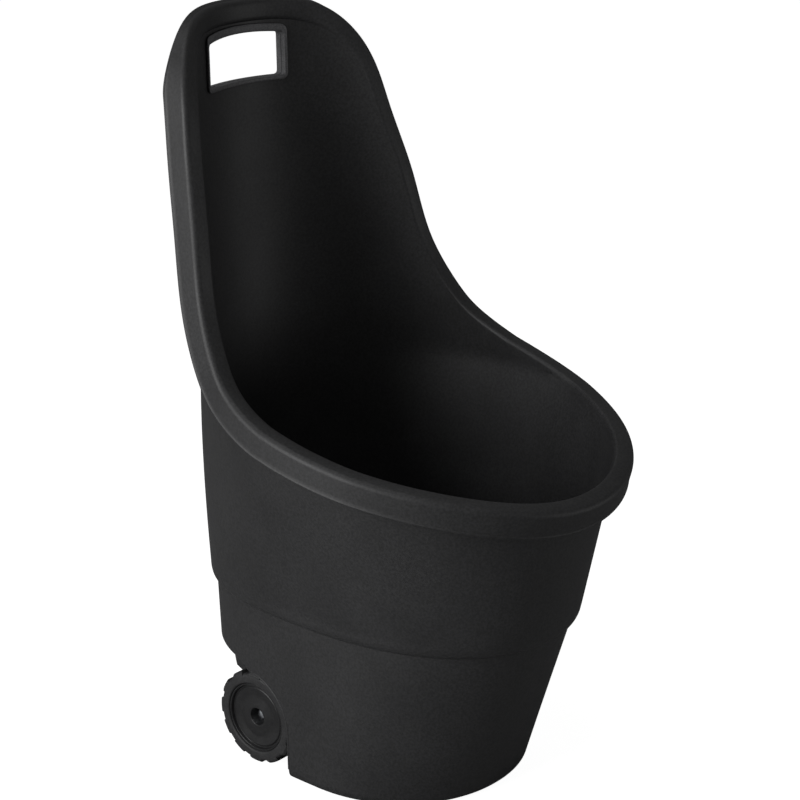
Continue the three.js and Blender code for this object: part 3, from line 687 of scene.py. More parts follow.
@dataclass
class RimLine:
    """The rim's inner edge round the tub and up the handle, with the directions of its section."""

    form: TubForm
    # angle from the front in degrees, height
    tub_marks: tuple[Point2, ...] = ((0, 389.5), (40, 408), (75, 438), (104, 486.5))
    # share of the climb from the shoulder to the top, half width
    handle_marks: tuple[Point2, ...] = (
        (0.07, 189),
        (0.23, 175),
        (0.45, 162.7),
        (0.67, 147.3),
        (0.85, 132),
        (0.965, 100.5),
    )
    top_z: float = 840
    slope_front_deg: float = 13
    upright_rise: float = 0.575
    stations: int = 260
    fine_steps: int = 6000
    slope_reach: int = 6  # stations each way over which the edge's slope is measured
    blur: int = 20  # stations each way over which the lean is evened out

    angle: np.ndarray = field(init=False)
    z: np.ndarray = field(init=False)
    body_angle: np.ndarray = field(init=False)
    edge: np.ndarray = field(init=False)
    out: np.ndarray = field(init=False)
    up: np.ndarray = field(init=False)
    normal: np.ndarray = field(init=False)

    def __post_init__(self) -> None:
        """Finds the stations of one side, mirrors them and sets the directions."""
        angle, z, body_angle = self.one_side()
        lean = self.lean(angle, z)
        back = slice(len(angle) - 2, 0, -1)
        self.angle = np.concatenate([angle, -angle[back]])
        self.body_angle = np.concatenate([body_angle, -body_angle[back]])
        self.z = np.concatenate([z, z[back]])
        lean = np.concatenate([lean, lean[back]])
        self.edge = self.form.point(self.angle, self.z, self.form.wall)
        along = unit(np.roll(self.edge, -1, axis=0) - np.roll(self.edge, 1, axis=0))
        upright = np.column_stack([np.zeros(len(lean)), -np.sin(lean), np.cos(lean)])
        self.out = unit(np.cross(upright, along))
        self.up = unit(np.cross(along, self.out))
        self.normal = self.form.normal(self.angle, self.z)

    def marks(self) -> tuple[np.ndarray, np.ndarray]:
        """Angles and heights that the edge goes through on one side."""
        shoulder = self.tub_marks[-1][1]
        angles = [math.radians(a) for a, _ in self.tub_marks]
        heights = [z for _, z in self.tub_marks]
        for rise, half_width in self.handle_marks:
            z = shoulder + (self.top_z - shoulder) * rise
            half, _, _, _, square = self.form.plan(np.array([z]))[:, 0]
            share = min(half_width / (half - self.form.wall), 1)
            angles.append(math.pi - math.asin(share ** (square / 2)))
            heights.append(z)
        return np.array([*angles, math.pi]), np.array([*heights, self.top_z])

    def one_side(self) -> tuple[np.ndarray, np.ndarray, np.ndarray]:
        """Angle, height and the body's own angle at even distances from front to top."""
        angles, heights = self.marks()
        places = self.form.point(angles, heights, self.form.wall)
        chords = np.linalg.norm(np.diff(places, axis=0), axis=1) ** 0.75
        knots = np.concatenate([[0], np.cumsum(chords)])
        angle_at, z_at = spline(knots, angles, False), spline(knots, heights, True)
        fine = np.linspace(0, knots[-1], self.fine_steps)
        path = self.form.point(angle_at(fine), z_at(fine), self.form.wall)
        run = np.concatenate([[0], np.cumsum(np.linalg.norm(np.diff(path, axis=0), axis=1))])
        even = np.linspace(0, run[-1], self.stations + 1)
        t = np.interp(even, run, fine)
        shoulder_knot = knots[len(self.tub_marks) - 1]
        tub_run = np.interp(shoulder_knot, fine, run)
        shoulder = angle_at(np.array([shoulder_knot]))[0]
        climb = np.clip((even - tub_run) / (run[-1] - tub_run), 0, 1)
        angle = angle_at(t)
        angle[-1] = math.pi
        body = np.where(even < tub_run, angle, shoulder + (math.pi - shoulder) * climb)
        return angle, z_at(t), body

    def lean(self, angle: np.ndarray, z: np.ndarray) -> np.ndarray:
        """How far the rim's face leans forward at each station of one side, in radians."""
        path = self.form.point(angle, z, self.form.wall)
        index, reach = np.arange(len(path)), self.slope_reach
        ahead = path[np.minimum(index + reach, len(path) - 1)]
        behind = path[np.maximum(index - reach, 0)]
        slope = np.degrees(np.arctan2(ahead[:, 2] - behind[:, 2], ahead[:, 1] - behind[:, 1]))
        shoulder = self.tub_marks[-1][1]
        upright_z = shoulder + (self.top_z - shoulder) * self.upright_rise
        slope = np.where(z > upright_z, 90, np.maximum(self.slope_front_deg, slope))
        padded = np.pad(slope, self.blur, mode="edge")
        window = np.ones(2 * self.blur + 1) / (2 * self.blur + 1)
        return np.radians(np.convolve(padded, window, mode="valid"))

    def ruled(self, climb: float, bottom_z: float, inside: float) -> np.ndarray:
        """A row between the level part of the wall (climb 0) and the rim (climb 1)."""
        angle = self.body_angle + (self.angle - self.body_angle) * climb
        return self.form.point(angle, bottom_z + (self.z - bottom_z) * climb, inside)


# ------------------------------------------------------------------ the tub


@dataclass
class TubBody:
    """The tub's shell with its rolled rim, wheel bay, axle clips and grip cut-out."""

    form: TubForm
    rim: RimLine
    axle: "AxleLine"
    ruled_bottom: float = 325.5
    base_fillet: float = 12
    foot_width: float = 18
    foot_height: float = 4
    land: float = 23
    rise: float = 2.4
    outer_round: float = 7
    inner_round: float = 3.6
    flange_depth: float = 29
    flange_depth_top: float = 11
    flange_taper: float = 55
    flare: float = 2
    bead: float = 0.9
    well_gap: float = 3.5
    headroom: float = 15
    bay_corner: float = 8
    bay_margin: float = 4
    clip_wall: float = 6.5
    clip_places: tuple[float, ...] = (-78, -26, 26, 78)
    clip_thickness: float = 5
    arch_bead: float = 1.5
    arch_bead_depth: float = 0.7
    beyond: float = 470  # past the tub's side and rear
    below: float = -60  # under the ground

    def levels(self) -> list[float]:
        """Heights of the level rows from the ruled part down to the base fillet."""
        form = self.form
        top, bottom = form.step_z + form.step_rise / 2, form.step_z - form.step_rise / 2
        step = [top - form.step_rise * math.sin(t) for t in np.linspace(0, math.pi / 2, 14)]
        above = list(np.linspace(self.ruled_bottom, top, 16)[:-1])
        corner = form.corner_z + form.corner_round
        below = list(np.linspace(bottom - 0.25, corner + 2, 9))
        edge = [corner - form.corner_round * math.sin(t) for t in np.linspace(0, math.pi / 2, 11)]
        low = list(np.linspace(form.corner_z - 6, self.base_fillet + 2, 11))
        return above + step + below + edge + low

    def fillet_rows(self, z: float, inside: float, steps: int) -> Rows:
        """Rows of the base's rounded edge, which starts at a height and a depth."""
        rows = []
        for turn in np.linspace(0, math.pi / 2, steps):
            level = z + self.base_fillet * (1 - math.sin(turn))
            drawn_in = inside + self.base_fillet * (1 - math.cos(turn))
            rows.append(self.form.point(self.rim.body_angle, level, drawn_in))
        return rows

    def shrunk(self, row: np.ndarray, share: float) -> np.ndarray:
        """A level row drawn towards the middle of the base."""
        middle = np.array([0, self.middle_y, row[0, 2]])
        return middle + (row - middle) * share

    @property
    def middle_y(self) -> float:
        """Middle of the base's plan."""
        return (self.form.levels[0][3] - self.form.levels[0][2]) / 2

    def outer_rows(self) -> Rows:
        """Rows of the outer face from under the rim down to the raised base."""
        rim, form = self.rim, self.form
        rows = [rim.ruled(climb, self.ruled_bottom, 0) for climb in np.linspace(0.9, 0.04, 16)]
        rows += [form.point(rim.body_angle, z, 0) for z in self.levels()]
        rows += self.fillet_rows(0, 0, 9)
        inner_edge = self.base_fillet + self.foot_width
        rows.append(form.point(rim.body_angle, 0, inner_edge))
        rows.append(form.point(rim.body_angle, self.foot_height, inner_edge + 3))
        rows += [self.shrunk(rows[-1], share) for share in (0.75, 0.5, 0.25)]
        return rows

    def inner_rows(self) -> Rows:
        """Rows of the inner face from the floor's middle up to the rim."""
        rim, form = self.rim, self.form
        wall, floor_z = form.wall, self.foot_height + form.wall
        rows = [rim.ruled(climb, self.ruled_bottom, wall) for climb in np.linspace(0.94, 0.04, 16)]
        bottom = form.step_z - form.step_rise / 2
        for z in self.levels():
            drop = 0.6 * wall if z < bottom else 0
            level = max(z + drop, floor_z + self.base_fillet + 1)
            rows.append(form.point(rim.body_angle, level, wall, np.full(len(rim.angle), z)))
        rows += self.fillet_rows(floor_z, wall, 8)
        rows += [self.shrunk(rows[-1], share) for share in (0.75, 0.5, 0.25)]
        return rows[::-1]

    def flange_depths(self) -> np.ndarray:
        """How far the flange hangs at each station: less over the top of the handle."""
        t = np.clip((self.rim.z - self.rim.top_z + self.flange_taper) / self.flange_taper, 0, 1)
        t = t * t * (3 - 2 * t)
        return self.flange_depth + (self.flange_depth_top - self.flange_depth) * t

    def rim_rows(self) -> Rows:
        """Rows of the rim's section: inner round, crowned face, outer round, beaded flange."""
        rim, wall = self.rim, self.form.wall
        down = unit(rim.ruled(0.9, self.ruled_bottom, wall) - rim.edge)
        depth = self.flange_depths()[:, None]
        at = lambda out, up, along=0.0: rim.edge + rim.out * out + rim.up * up + down * along
        rows = [at(0, 0, 2 * wall), at(0, 0, wall)]
        for turn in np.linspace(0, math.pi / 2, 8):
            out, up = self.inner_round * (1 - math.cos(turn)), self.rise * math.sin(turn)
            rows.append(at(out, up, self.rise * (1 - math.sin(turn))))
        flat_end = self.land - self.outer_round
        for share in np.linspace(0.12, 0.95, 8):
            crown = 0.3 * math.sin(math.pi * share)
            rows.append(at(self.inner_round + (flat_end - self.inner_round) * share, self.rise + crown))
        for turn in np.linspace(0, math.pi / 2, 14):
            out = flat_end + self.outer_round * math.sin(turn)
            rows.append(at(out, self.rise - self.outer_round * (1 - math.cos(turn))))
        tip = self.land + self.flare
        base = tip - self.bead
        root = self.rise - self.outer_round
        for share in np.linspace(0.15, 0.85, 6):
            out = self.land + (base - self.land) * share
            rows.append(at(out, root + (4.2 - depth - root) * share))
        rows += [at(base, 3.4 - depth), at(base + 0.25, 2.9 - depth), at(base + 0.7, 2.3 - depth)]
        rows += [at(tip, 1.5 - depth), at(tip - 0.25, 0.75 - depth), at(tip - 0.9, 0.2 - depth)]
        rows += [at(tip - 1.6, 0 - depth), at(tip - wall + 0.4, 0.1 - depth), at(tip - wall, 0.6 - depth)]
        for share in (0.6, 0.3, 0.0):
            rows.append(at(self.land - wall + self.flare * share, root - (depth + root) * share))
        underside, radius = self.rise - wall, self.outer_round - wall
        for turn in np.linspace(math.radians(80), 0, 8):
            out = flat_end + radius * math.sin(turn)
            rows.append(at(out, underside - radius * (1 - math.cos(turn))))
        rows += [at(3 * wall, underside), at(2 * wall, underside)]
        back = rim.edge + rim.normal * wall
        for share in (0.25, 0.5, 0.8):
            bulge = wall * 0.5 * (1 - share) ** 2
            rows.append(back + down * (wall * (0.6 + share)) + rim.out * bulge)
        rows.append(back + down * (3 * wall))
        return rows

    def bay_outline(self, grow: float) -> list[Point2]:
        """Y-Z outline of the space round the axle between the wheels."""
        y, z = self.axle.y, self.axle.z
        clip = self.axle.radius + 0.3 + self.clip_wall
        front, roof = y - clip - self.bay_margin - grow, z + self.headroom + grow
        rear_z, rear_y = z + self.well_radius + grow, self.form.levels[0][3] - self.form.step_inset
        corners = [(front, self.below), (front, roof), (y + clip, roof), (rear_y, rear_z)]
        corners += [(self.beyond, rear_z), (self.beyond, self.below)]
        return rounded(corners, [0, self.bay_corner + grow, 6, 12, 0, 0], 8)

    def well_outline(self, grow: float) -> list[Point2]:
        """Y-Z outline of the space round a wheel, which runs on to the rear."""
        radius = self.well_radius + grow
        arch = self.axle.arc(radius, math.pi, math.pi / 2, 48)
        ends = [(self.beyond, self.axle.z + radius), (self.beyond, self.below)]
        return [(self.axle.y - radius, self.below), *arch, *ends]

    @property
    def well_radius(self) -> float:
        """Radius of the arch over a wheel."""
        return self.axle.wheel_radius + self.well_gap

    def bay(self, grow: float) -> bpy.types.Object:
        """The whole space that the tub leaves for wheels and axle."""
        along_x = lambda p, x: (x, p[0], p[1])
        inner = self.axle.well_inner_x - grow
        whole = prism("bay", self.bay_outline(grow), (-inner - 1, inner + 1), along_x)
        for low, high in ((inner, self.beyond), (-self.beyond, -inner)):
            combine(whole, prism("well", self.well_outline(grow), (low, high), along_x), Cut.ADD)
        return whole

    def lower_body(self, inside: float) -> bpy.types.Object:
        """The body below the step as one solid, a little within its outer face."""
        rim, form = self.rim, self.form
        levels = np.linspace(form.step_z - form.step_rise, self.base_fillet, 12)
        rows = [form.point(rim.body_angle, z, inside) for z in levels]
        for z, draw in ((5, 2), (inside, self.base_fillet)):
            rows.append(form.point(rim.body_angle, z, inside + draw))
        ends = [np.array([0, self.middle_y, row[0, 2]]) for row in (rows[0], rows[-1])]
        return ring_object("lower_body", rows, *ends)

    def arch_path(self) -> np.ndarray:
        """Middle line of the bead round the opening's edge, from one side's foot to the other's."""
        y0, z0, radius = self.axle.y, self.axle.z, self.well_radius
        side = [(y0 - radius, z) for z in np.linspace(self.base_fillet + 2, z0, 12)[:-1]]
        side += self.axle.arc(radius, math.pi, math.pi / 2, 40)
        depth = self.arch_bead_depth
        left = [(-self.form.side_x(y, z, depth), y, z) for y, z in side]
        top = z0 + radius
        _, _, rear, _, square = self.form.plan(np.array([top]))[:, 0]
        crown = math.pi - math.acos((y0 / rear) ** (square / 2))
        turns = np.linspace(crown, 2 * math.pi - crown, 170)[1:-1]
        behind = [tuple(p) for p in self.form.point(turns, top, depth)]
        right = [(-x, y, z) for x, y, z in reversed(left)]
        return np.array(left + behind + right)

    def clip(self, x: float) -> bpy.types.Object:
        """One moulded clip that hangs from the bay's roof with a snap-in seat for the axle."""
        y0, z0, seat = self.axle.y, self.axle.z, self.axle.radius + 0.3
        outside = seat + self.clip_wall
        roof = z0 + self.headroom + self.form.wall / 2
        throat = seat - 0.95
        gap, mouth = math.asin(throat / seat), math.asin((throat + 1.5) / outside)
        arc, down = self.axle.arc, 1.5 * math.pi
        outline = [(y0 - outside, roof), *arc(outside, math.pi, down - mouth, 18)]
        outline += arc(seat, down - gap, -math.pi / 2 + gap, 30)
        outline += [*arc(outside, mouth - math.pi / 2, 0, 18), (y0 + outside, roof)]
        half = self.clip_thickness / 2
        return prism("clip", outline, (x - half, x + half), lambda p, level: (level, p[0], p[1]))

    def build(self, cut_out: bpy.types.Object) -> bpy.types.Object:
        """Makes the whole shell.

        Args:
            cut_out: Solid of the grip's cut-out, which is used up.

        Returns:
            The tub's mesh object.
        """
        inner, outer = self.inner_rows(), self.outer_rows()
        ends = [np.array([0, self.middle_y, row[0, 2]]) for row in (inner[0], outer[-1])]
        shell = ring_object("tub_shell_body", [*inner, *self.rim_rows(), *outer], *ends)
        lining = self.bay(self.form.wall)
        combine(lining, self.lower_body(0.4), Cut.KEEP_COMMON)
        combine(shell, lining, Cut.ADD)
        combine(shell, self.bay(0), Cut.TAKE)
        combine(shell, tube("arch_bead", self.arch_path(), self.arch_bead), Cut.ADD)
        for x in self.clip_places:
            combine(shell, self.clip(x), Cut.ADD)
        combine(shell, cut_out, Cut.TAKE)
        smooth(shell, 34)
        return shell


def tube(name: str, path: np.ndarray, radius: float, sides: int = 14) -> bpy.types.Object:
    """A round bar along a path, closed at both ends.

    Args:
        name: Name of the piece.
        path: Middle line, one row for each point.
        radius: Radius of the bar.
        sides: Number of sides.

    Returns:
        The closed mesh object.
    """
    along = unit(np.gradient(path, axis=0))
    across = unit(np.cross(along, path - path.mean(axis=0)))
    second = np.cross(along, across)
    rows = []
    for i in range(len(path)):
        turns = np.linspace(0, 2 * math.pi, sides, endpoint=False)[:, None]
        rows.append(path[i] + radius * (np.cos(turns) * across[i] + np.sin(turns) * second[i]))
    return ring_object(name, rows, path[0], path[-1])


# ------------------------------------------------------------------ the grip liner


@dataclass
class GripLiner:
    """Two moulded halves that snap together in the handle's cut-out and line it for fingers."""

    form: TubForm
    top_z: float = 826
    width: float = 122
    height: float = 54
    arch: float = 4
    corner: float = 5
    sleeve: float = 1.8
    lip_gap: float = 0.9
    lip_front_gap: float = 2.2
    lip_top: float = 9
    lip_bottom: float = 5
    lip_side: float = 3.6
    lip_front: float = 2.4
    lip_rear: float = 6

    def outline(self, side: float, top: float, bottom: float) -> np.ndarray:
        """The opening's outline in X and Z, grown by margins.

        Args:
            side: Margin at left and right.
            top: Margin over the opening.
            bottom: Margin under the opening.

        Returns:
            Rows of X and Z, always as many and in the same order.
        """
        half, low = self.width / 2 + side, self.top_z - self.height - bottom
        high = self.top_z - self.arch + top
        corner = self.corner + min(side, top)

        def line(a: Point2, b: Point2, n: int) -> list[np.ndarray]:
            """Points of the line from a towards b."""
            a, b = np.array(a), np.array(b)
            return [a + (b - a) * t for t in np.linspace(0, 1, n, endpoint=False)]

        def bend(a: Point2, b: Point2, c: Point2, n: int) -> list[np.ndarray]:
            """Points of the parabola from a to c that leaves and arrives along b."""
            a, b, c = np.array(a), np.array(b), np.array(c)
            shares = np.linspace(0, 1, n, endpoint=False)
            return [a * (1 - t) ** 2 + 2 * b * t * (1 - t) + c * t * t for t in shares]

        crest, rise = high + self.arch * 1.85, high + self.arch * 0.15
        points = line((-half + corner, low), (half - corner, low), 30)
        points += bend((half - corner, low), (half, low), (half, low + corner), 9)
        points += line((half, low + corner), (half, high - corner), 12)
        points += bend((half, high - corner), (half, high), (half - corner, rise), 9)
        points += bend((half - corner, rise), (0, crest), (-half + corner, rise), 40)
        points += bend((-half + corner, rise), (-half, high), (-half, high - corner), 9)
        points += line((-half, high - corner), (-half, low + corner), 12)
        points += bend((-half, low + corner), (-half, low), (-half + corner, low), 9)
        return np.array(points)

    def row(self, share: float, depth: float, margin: float | None = None) -> np.ndarray:
        """A ring round the opening.

        Args:
            share: Share of the lip's width outside the opening.
            depth: Depth in front of the panel's rear face.
            margin: An even margin instead of a share of the lip.

        Returns:
            Places on the curved panel.
        """
        if margin is None:
            flat = self.outline(self.lip_side * share, self.lip_top * share, self.lip_bottom * share)
        else:
            flat = self.outline(margin, margin, margin)
        x, z = flat.T
        return np.column_stack([x, self.form.rear_y(x, z) - depth, z])

    def half(self, name: str, joint: float, seat: float, face: float) -> bpy.types.Object:
        """One half of the liner.

        Args:
            name: Name of the piece.
            joint: Depth at which it meets the other half.
            seat: Depth of the lip's hidden face on the panel.
            face: Depth of the lip's outer face.

        Returns:
            The closed mesh object.
        """
        way = 1 if face > seat else -1
        section = [(0, joint), (0, face - 3.0 * way), (0, face - 1.3 * way), (0.03, face - 0.7 * way)]
        section += [(0.09, face - 0.22 * way), (0.17, face), (0.5, face + 0.15 * way), (0.83, face)]
        section += [(0.92, face - 0.25 * way), (0.98, face - 0.7 * way), (1.0, face - 1.3 * way)]
        section += [(1.0, seat + 0.25 * way), (0.97, seat)]
        rows = [self.row(share, depth) for share, depth in section]
        rows += [self.row(0, seat, self.sleeve), self.row(0, joint, self.sleeve)]
        piece = ring_object(name, rows)
        smooth(piece, 40)
        return piece

    def build(self) -> tuple[bpy.types.Object, bpy.types.Object]:
        """Makes the front and the rear half."""
        wall, gap = self.form.wall, self.lip_gap
        joint, front, rear = wall / 2, wall + self.lip_front_gap, -gap
        return (
            self.half("grip_liner_front_half", joint + gap / 2, front, front + self.lip_front - 0.15),
            self.half("grip_liner_rear_half", joint - gap / 2, rear, rear - self.lip_rear + 0.15),
        )

    def cut_out(self) -> bpy.types.Object:
        """Solid of the panel's cut-out, with the clearance round the sleeve."""
        margin = self.sleeve + self.lip_gap
        flat = [tuple(p) for p in self.outline(margin, margin, margin)]
        return prism("cut_out", flat, (120, 300), lambda p, y: (p[0], y, p[1]))


# ------------------------------------------------------------------ wheels and axle


@dataclass
class AxleLine:
    """Sizes that the wheels, the axle and the tub's bay share."""

    y: float = AXLE_Y
    z: float = 57
    radius: float = 4.5
    wheel_radius: float = 57
    wheel_width: float = 32
    outer_x: float = 139.33
    pocket_depth: float = 20.5
    washer_thickness: float = 1.5
    gap: float = 0.3

    @property
    def middle_x(self) -> float:
        """Middle plane of a wheel."""
        return self.outer_x - self.wheel_width / 2

    @property
    def well_inner_x(self) -> float:
        """Inner wall of the space round a wheel."""
        return self.outer_x - self.wheel_width - self.washer_thickness - 2 * self.gap

    def arc(self, radius: float, start: float, end: float, steps: int) -> list[Point2]:
        """Y and Z of points about the axle, from one angle to another."""
        turns = np.linspace(start, end, steps)
        return [(self.y + radius * math.cos(t), self.z + radius * math.sin(t)) for t in turns]

    def put(self, piece: bpy.types.Object, side: Side, x: float) -> bpy.types.Object:
        """Puts a piece that was made round the X axis, outwards along +X, on its side of the axle.

        Args:
            piece: Piece to place.
            side: Side of the cart.
            x: Distance of the piece's middle from the cart's middle.

        Returns:
            The same piece.
        """
        turn = Matrix.Identity(4) if side is Side.RIGHT else Matrix.Rotation(math.pi, 4, "Z")
        spot = Vector((side.sign * x * MM, self.y * MM, self.z * MM))
        shift = mesh_shift()
        piece.data.transform(Matrix.Translation(-shift))
        piece.data.transform(Matrix.Translation(spot + shift) @ turn)
        return piece


@dataclass
class Wheel:
    """One wheel: a dished hub with a lugged tread pressed on it."""

    axle: AxleLine
    lugs: int = 12
    lug_height: float = 3
    lug_share: float = 0.52
    lug_draft: float = 0.025
    seat: float = 42
    pocket: float = 10.5

    def lug(self, middle: float, inner_x: float, outer_x: float) -> bpy.types.Object:
        """One tread lug with drafted ends that wraps the tyre's shoulder.

        Args:
            middle: Angle of its middle about the axle.
            inner_x: Where it starts, near the tread's middle.
            outer_x: Where it ends, at the tyre's face.

        Returns:
            The closed mesh object.
        """
        top, root = self.axle.wheel_radius, self.axle.wheel_radius - self.lug_height
        way = 1 if outer_x > inner_x else -1
        corners = [(root - 2, inner_x), (top, inner_x + 0.5 * way), (top, outer_x - 2.6 * way)]
        corners += [(top - 3.2, outer_x), (top - 9, outer_x), (top - 10.5, outer_x - 1.6 * way)]
        corners.append((root - 2, outer_x - 6 * way))
        outline = rounded(corners, [0, 0.9, 2.4, 1.2, 0.8, 0, 0], 4)
        half = math.pi / self.lugs * self.lug_share

        def to_space(point: Point2, level: float) -> Point3:
            """Turns a corner about the axle, further out at the lug's foot."""
            radius, along = point
            foot = min(1.5, (top - radius) / self.lug_height)
            turn = middle + level * (half + self.lug_draft * foot)
            return (along, radius * math.cos(turn), radius * math.sin(turn))

        return prism("lug", outline, np.linspace(-1, 1, 9), to_space)

    def tyre(self, name: str) -> bpy.types.Object:
        """The tread: a hollow ring with two staggered rows of lugs."""
        half, root = self.axle.wheel_width / 2, self.axle.wheel_radius - self.lug_height
        seat = self.seat + self.axle.gap
        corners = [(seat, -half), (root, -half), (root, half), (seat, half)]
        ring = turned(name, rounded(corners, [2.5, 4, 4, 2.5], 8), 192)
        pitch = 2 * math.pi / self.lugs
        for i in range(self.lugs):
            combine(ring, self.lug(i * pitch, -0.6, half - 0.25), Cut.ADD)
            combine(ring, self.lug((i + 0.5) * pitch, 0.6, 0.25 - half), Cut.ADD)
        smooth(ring, 30)
        return ring

    def hub(self, name: str) -> bpy.types.Object:
        """The hub: tyre seat, groove, dished disc and a pocket for the axle's end."""
        half, rim, pocket = self.axle.wheel_width / 2, self.seat, self.pocket
        bore, floor, dish = self.axle.radius + 0.06, half - self.axle.pocket_depth, half - 4.5
        corners = [(bore, -half), (pocket + 3, -half), (pocket + 3, -5), (rim - 6, -5)]
        corners += [(rim - 3, 2 - half), (rim, 2 - half), (rim, half - 2), (rim - 2, half - 2)]
        corners += [(rim - 3, half - 6), (rim - 4.5, half - 6), (rim - 6, dish)]
        corners += [((rim + pocket) / 2, dish - 2), (pocket + 3, dish), (pocket, dish)]
        corners += [(pocket, floor), (bore, floor)]
        radii = [0.6, 1, 2, 3, 1, 0.5, 0.5, 0.8, 0.7, 0.7, 1.1, 14, 1.2, 0.9, 1, 0.5]
        piece = turned(name, rounded(corners, radii, 6), 160)
        smooth(piece, 30)
        return piece


@dataclass
class AxleSet:
    """The plated axle with its washers and push-on caps."""

    axle: AxleLine
    washer_radius: float = 9
    cap_wall: float = 1.2
    cap_skin: float = 0.9
    cap_dome: float = 1.2
    cap_skirt: float = 5

    @property
    def outer_washer_x(self) -> float:
        """Middle of the washer in the hub's pocket."""
        axle = self.axle
        return axle.outer_x - axle.pocket_depth + axle.gap + axle.washer_thickness / 2

    @property
    def inner_washer_x(self) -> float:
        """Middle of the washer on the wheel's inner face."""
        axle = self.axle
        return axle.outer_x - axle.wheel_width - axle.gap - axle.washer_thickness / 2

    @property
    def cap_x(self) -> float:
        """Where the cap's skin starts."""
        return self.outer_washer_x + self.axle.washer_thickness / 2 + self.axle.gap + self.cap_skirt

    def rod(self, name: str) -> bpy.types.Object:
        """The axle with turned bevels at its ends."""
        end, radius = self.cap_x - self.axle.gap, self.axle.radius
        profile = [(0, -end), (radius - 0.8, -end), (radius - 0.2, -end + 0.5), (radius, -end + 0.9)]
        profile += [(radius, end - 0.9), (radius - 0.2, end - 0.5), (radius - 0.8, end), (0, end)]
        piece = turned(name, profile, 64)
        smooth(piece)
        return piece

    def washer(self, name: str) -> bpy.types.Object:
        """A punched washer with one edge rolled over by the die."""
        half, bore = self.axle.washer_thickness / 2, self.axle.radius + self.axle.gap
        corners = [(bore, -half), (self.washer_radius, -half), (self.washer_radius, half), (bore, half)]
        piece = turned(name, rounded(corners, [0.3, 0.25, 0.45, 0.3], 4), 96)
        smooth(piece)
        return piece

    def cap(self, name: str) -> bpy.types.Object:
        """A drawn cap: a skirt round the axle's end under a low dome."""
        bore, skin = self.axle.radius + self.axle.gap, self.cap_skin
        outside = bore + self.cap_wall
        edge, crown = skin * 0.4, self.cap_dome + skin * 0.6
        profile = [(0, 0.0), (bore, 0), (bore, -self.cap_skirt), (outside, -self.cap_skirt), (outside, edge)]
        for turn in np.linspace(0.2, math.pi / 2, 10)[:-1]:
            profile.append((outside * math.cos(turn) ** 0.8, edge + crown * math.sin(turn)))
        profile.append((0, skin + self.cap_dome))
        piece = turned(name, profile, 64)
        smooth(piece, 40)
        return piece


# ------------------------------------------------------------------ studio


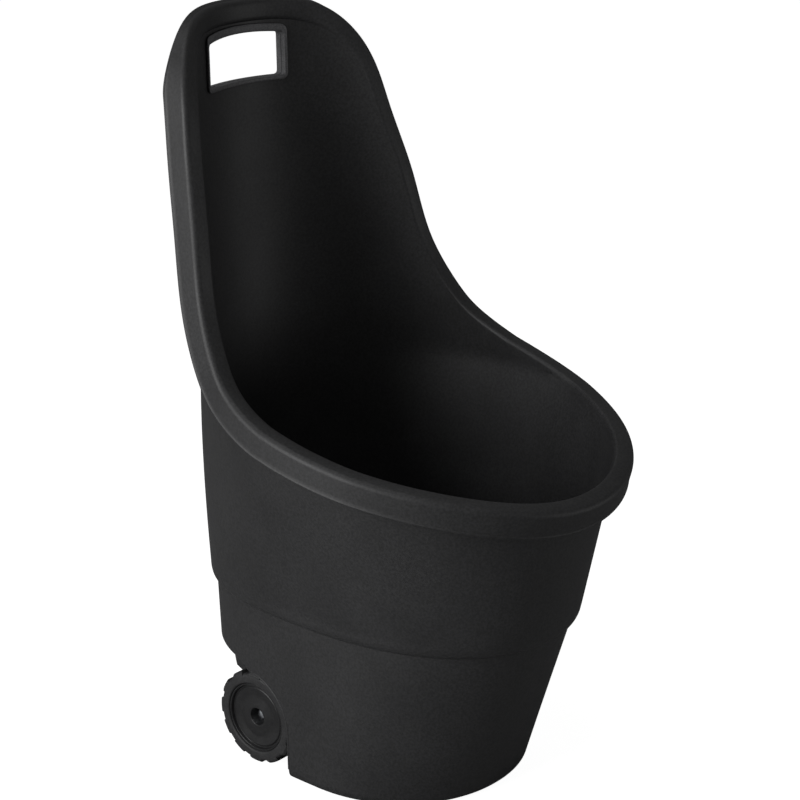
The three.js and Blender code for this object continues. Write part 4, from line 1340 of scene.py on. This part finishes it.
@dataclass
class Studio:
    """A pale floor, a white surround and soft lights, with the camera on the cart's left front."""

    azimuth_deg: float = 49.66
    elevation_deg: float = 18.955
    distance: float = 2515.8
    lens_mm: float = 99.92
    sensor_mm: float = 36
    aim_across: float = 3.61
    aim_z: float = 436.56
    floor_reach: float = 12000
    floor_z: float = -0.4

    def camera(self) -> None:
        """Adds the camera and makes it the scene's own."""
        turn, rise = math.radians(self.azimuth_deg), math.radians(self.elevation_deg)
        level = math.cos(rise)
        away = np.array([-math.sin(turn) * level, -math.cos(turn) * level, math.sin(rise)])
        across = self.aim_across
        aim = np.array([across * math.cos(turn), -across * math.sin(turn), self.aim_z])
        data = bpy.data.cameras.new("camera")
        data.lens, data.sensor_width = self.lens_mm, self.sensor_mm
        data.clip_end = 50
        made = bpy.data.objects.new("camera", data)
        made.location = Vector((aim + away * self.distance) * MM) + mesh_shift()
        made.rotation_euler = Vector((-away).tolist()).to_track_quat("-Z", "Y").to_euler()
        bpy.context.scene.collection.objects.link(made)
        bpy.context.scene.camera = made

    def light(self, name: str, place: Point3, size: Point2, power: float) -> None:
        """Adds a soft rectangular light that faces the cart.

        Args:
            name: Name of the light.
            place: Where it hangs, in metres.
            size: Its two sides, in metres.
            power: Its power in watts.
        """
        data = bpy.data.lights.new(name, "AREA")
        data.shape, data.size, data.size_y, data.energy = "RECTANGLE", size[0], size[1], power
        made = bpy.data.objects.new(name, data)
        made.location = place
        made.rotation_euler = (Vector((0, 0, 0.42)) - Vector(place)).to_track_quat("-Z", "Y").to_euler()
        bpy.context.scene.collection.objects.link(made)

    def surround(self) -> None:
        """A white backdrop to look at, which lights the cart only softly."""
        world = bpy.data.worlds.new("studio")
        bpy.context.scene.world = world
        world.use_nodes = True
        tree = world.node_tree
        tree.nodes.clear()
        seen = add_node(tree, "ShaderNodeLightPath").outputs["Is Camera Ray"]
        glow = add_node(tree, "ShaderNodeBackground", inputs={"Color": (1, 1, 1, 1), "Strength": 0.13})
        white = add_node(tree, "ShaderNodeBackground", inputs={"Color": (1, 1, 1, 1), "Strength": 1.0})
        ways = {0: seen, 1: glow.outputs[0], 2: white.outputs[0]}
        mixed = add_node(tree, "ShaderNodeMixShader", inputs=ways)
        add_node(tree, "ShaderNodeOutputWorld", inputs={"Surface": mixed.outputs[0]})

    def floor(self) -> None:
        """A pale floor that almost melts into the surround."""
        edge, z = self.floor_reach, self.floor_z
        corners = np.array([(-edge, -edge, z), (edge, -edge, z), (edge, edge, z), (-edge, edge, z)])
        made = mesh_object("studio_floor", corners, [(0, 1, 2, 3)])
        paper = bpy.data.materials.new("white_backdrop_paper")
        paper.use_nodes = True
        tree = paper.node_tree
        tree.nodes.clear()
        seen = add_node(tree, "ShaderNodeLightPath").outputs["Is Camera Ray"]
        matte = add_node(tree, "ShaderNodeBsdfDiffuse", inputs={"Color": (0.35, 0.35, 0.35, 1)})
        lit = add_node(tree, "ShaderNodeEmission", inputs={"Color": (1, 1, 1, 1), "Strength": 0.96})
        both = add_node(tree, "ShaderNodeAddShader", inputs={0: matte.outputs[0], 1: lit.outputs[0]})
        ways = {0: seen, 1: matte.outputs[0], 2: both.outputs[0]}
        mixed = add_node(tree, "ShaderNodeMixShader", inputs=ways)
        add_node(tree, "ShaderNodeOutputMaterial", inputs={"Surface": mixed.outputs[0]})
        made.data.materials.append(paper)

    def build(self) -> None:
        """Sets up the whole studio."""
        self.surround()
        self.floor()
        self.light("key_left", (-2.8, 0.5, 1.25), (1.7, 1.9), 68)
        self.light("top_soft", (-0.4, 0.4, 3.0), (1.8, 1.8), 11)
        self.light("fill_right", (1.7, -2.5, 0.35), (1.6, 1.0), 10)
        self.camera()
        bpy.context.scene.view_settings.view_transform = "Standard"


# ------------------------------------------------------------------ the whole cart


def main() -> None:
    """Builds every piece, dresses it, puts it on its body and sets up the studio."""
    logging.basicConfig(level=logging.INFO, format="%(name)s: %(message)s")
    form = TubForm()
    axle = AxleLine()
    liner = GripLiner(form)
    tub = TubBody(form, RimLine(form), axle).build(liner.cut_out())
    dress(tub, TUB, Body.CART, ["tub_shell"])
    for piece, node in zip(liner.build(), ("grip_liner_front", "grip_liner_rear")):
        dress(piece, GRIP, Body.CART, [node])
    wheel, steel = Wheel(axle), AxleSet(axle)
    dress(axle.put(steel.rod("axle_bar"), Side.RIGHT, 0), STEEL, Body.CART, ["axle_rod"])
    for side in Side:
        word, body = side.word, Body.wheel(side)
        dress(axle.put(wheel.tyre(f"{word}_tread"), side, axle.middle_x), TYRE, body, [f"tyre_{word}"])
        dress(axle.put(wheel.hub(f"{word}_hub"), side, axle.middle_x), HUB, body, [f"wheel_hub_{word}"])
        small = [
            (steel.washer(f"{word}_inner_washer_disc"), steel.inner_washer_x, f"inner_washer_{word}"),
            (steel.washer(f"{word}_outer_washer_disc"), steel.outer_washer_x, f"outer_washer_{word}"),
            (steel.cap(f"{word}_cap"), steel.cap_x, f"push_cap_{word}"),
        ]
        for piece, x, node in small:
            dress(axle.put(piece, side, x), STEEL, Body.CART, [node])
    Studio().build()


if __name__ == "__main__":
    main()
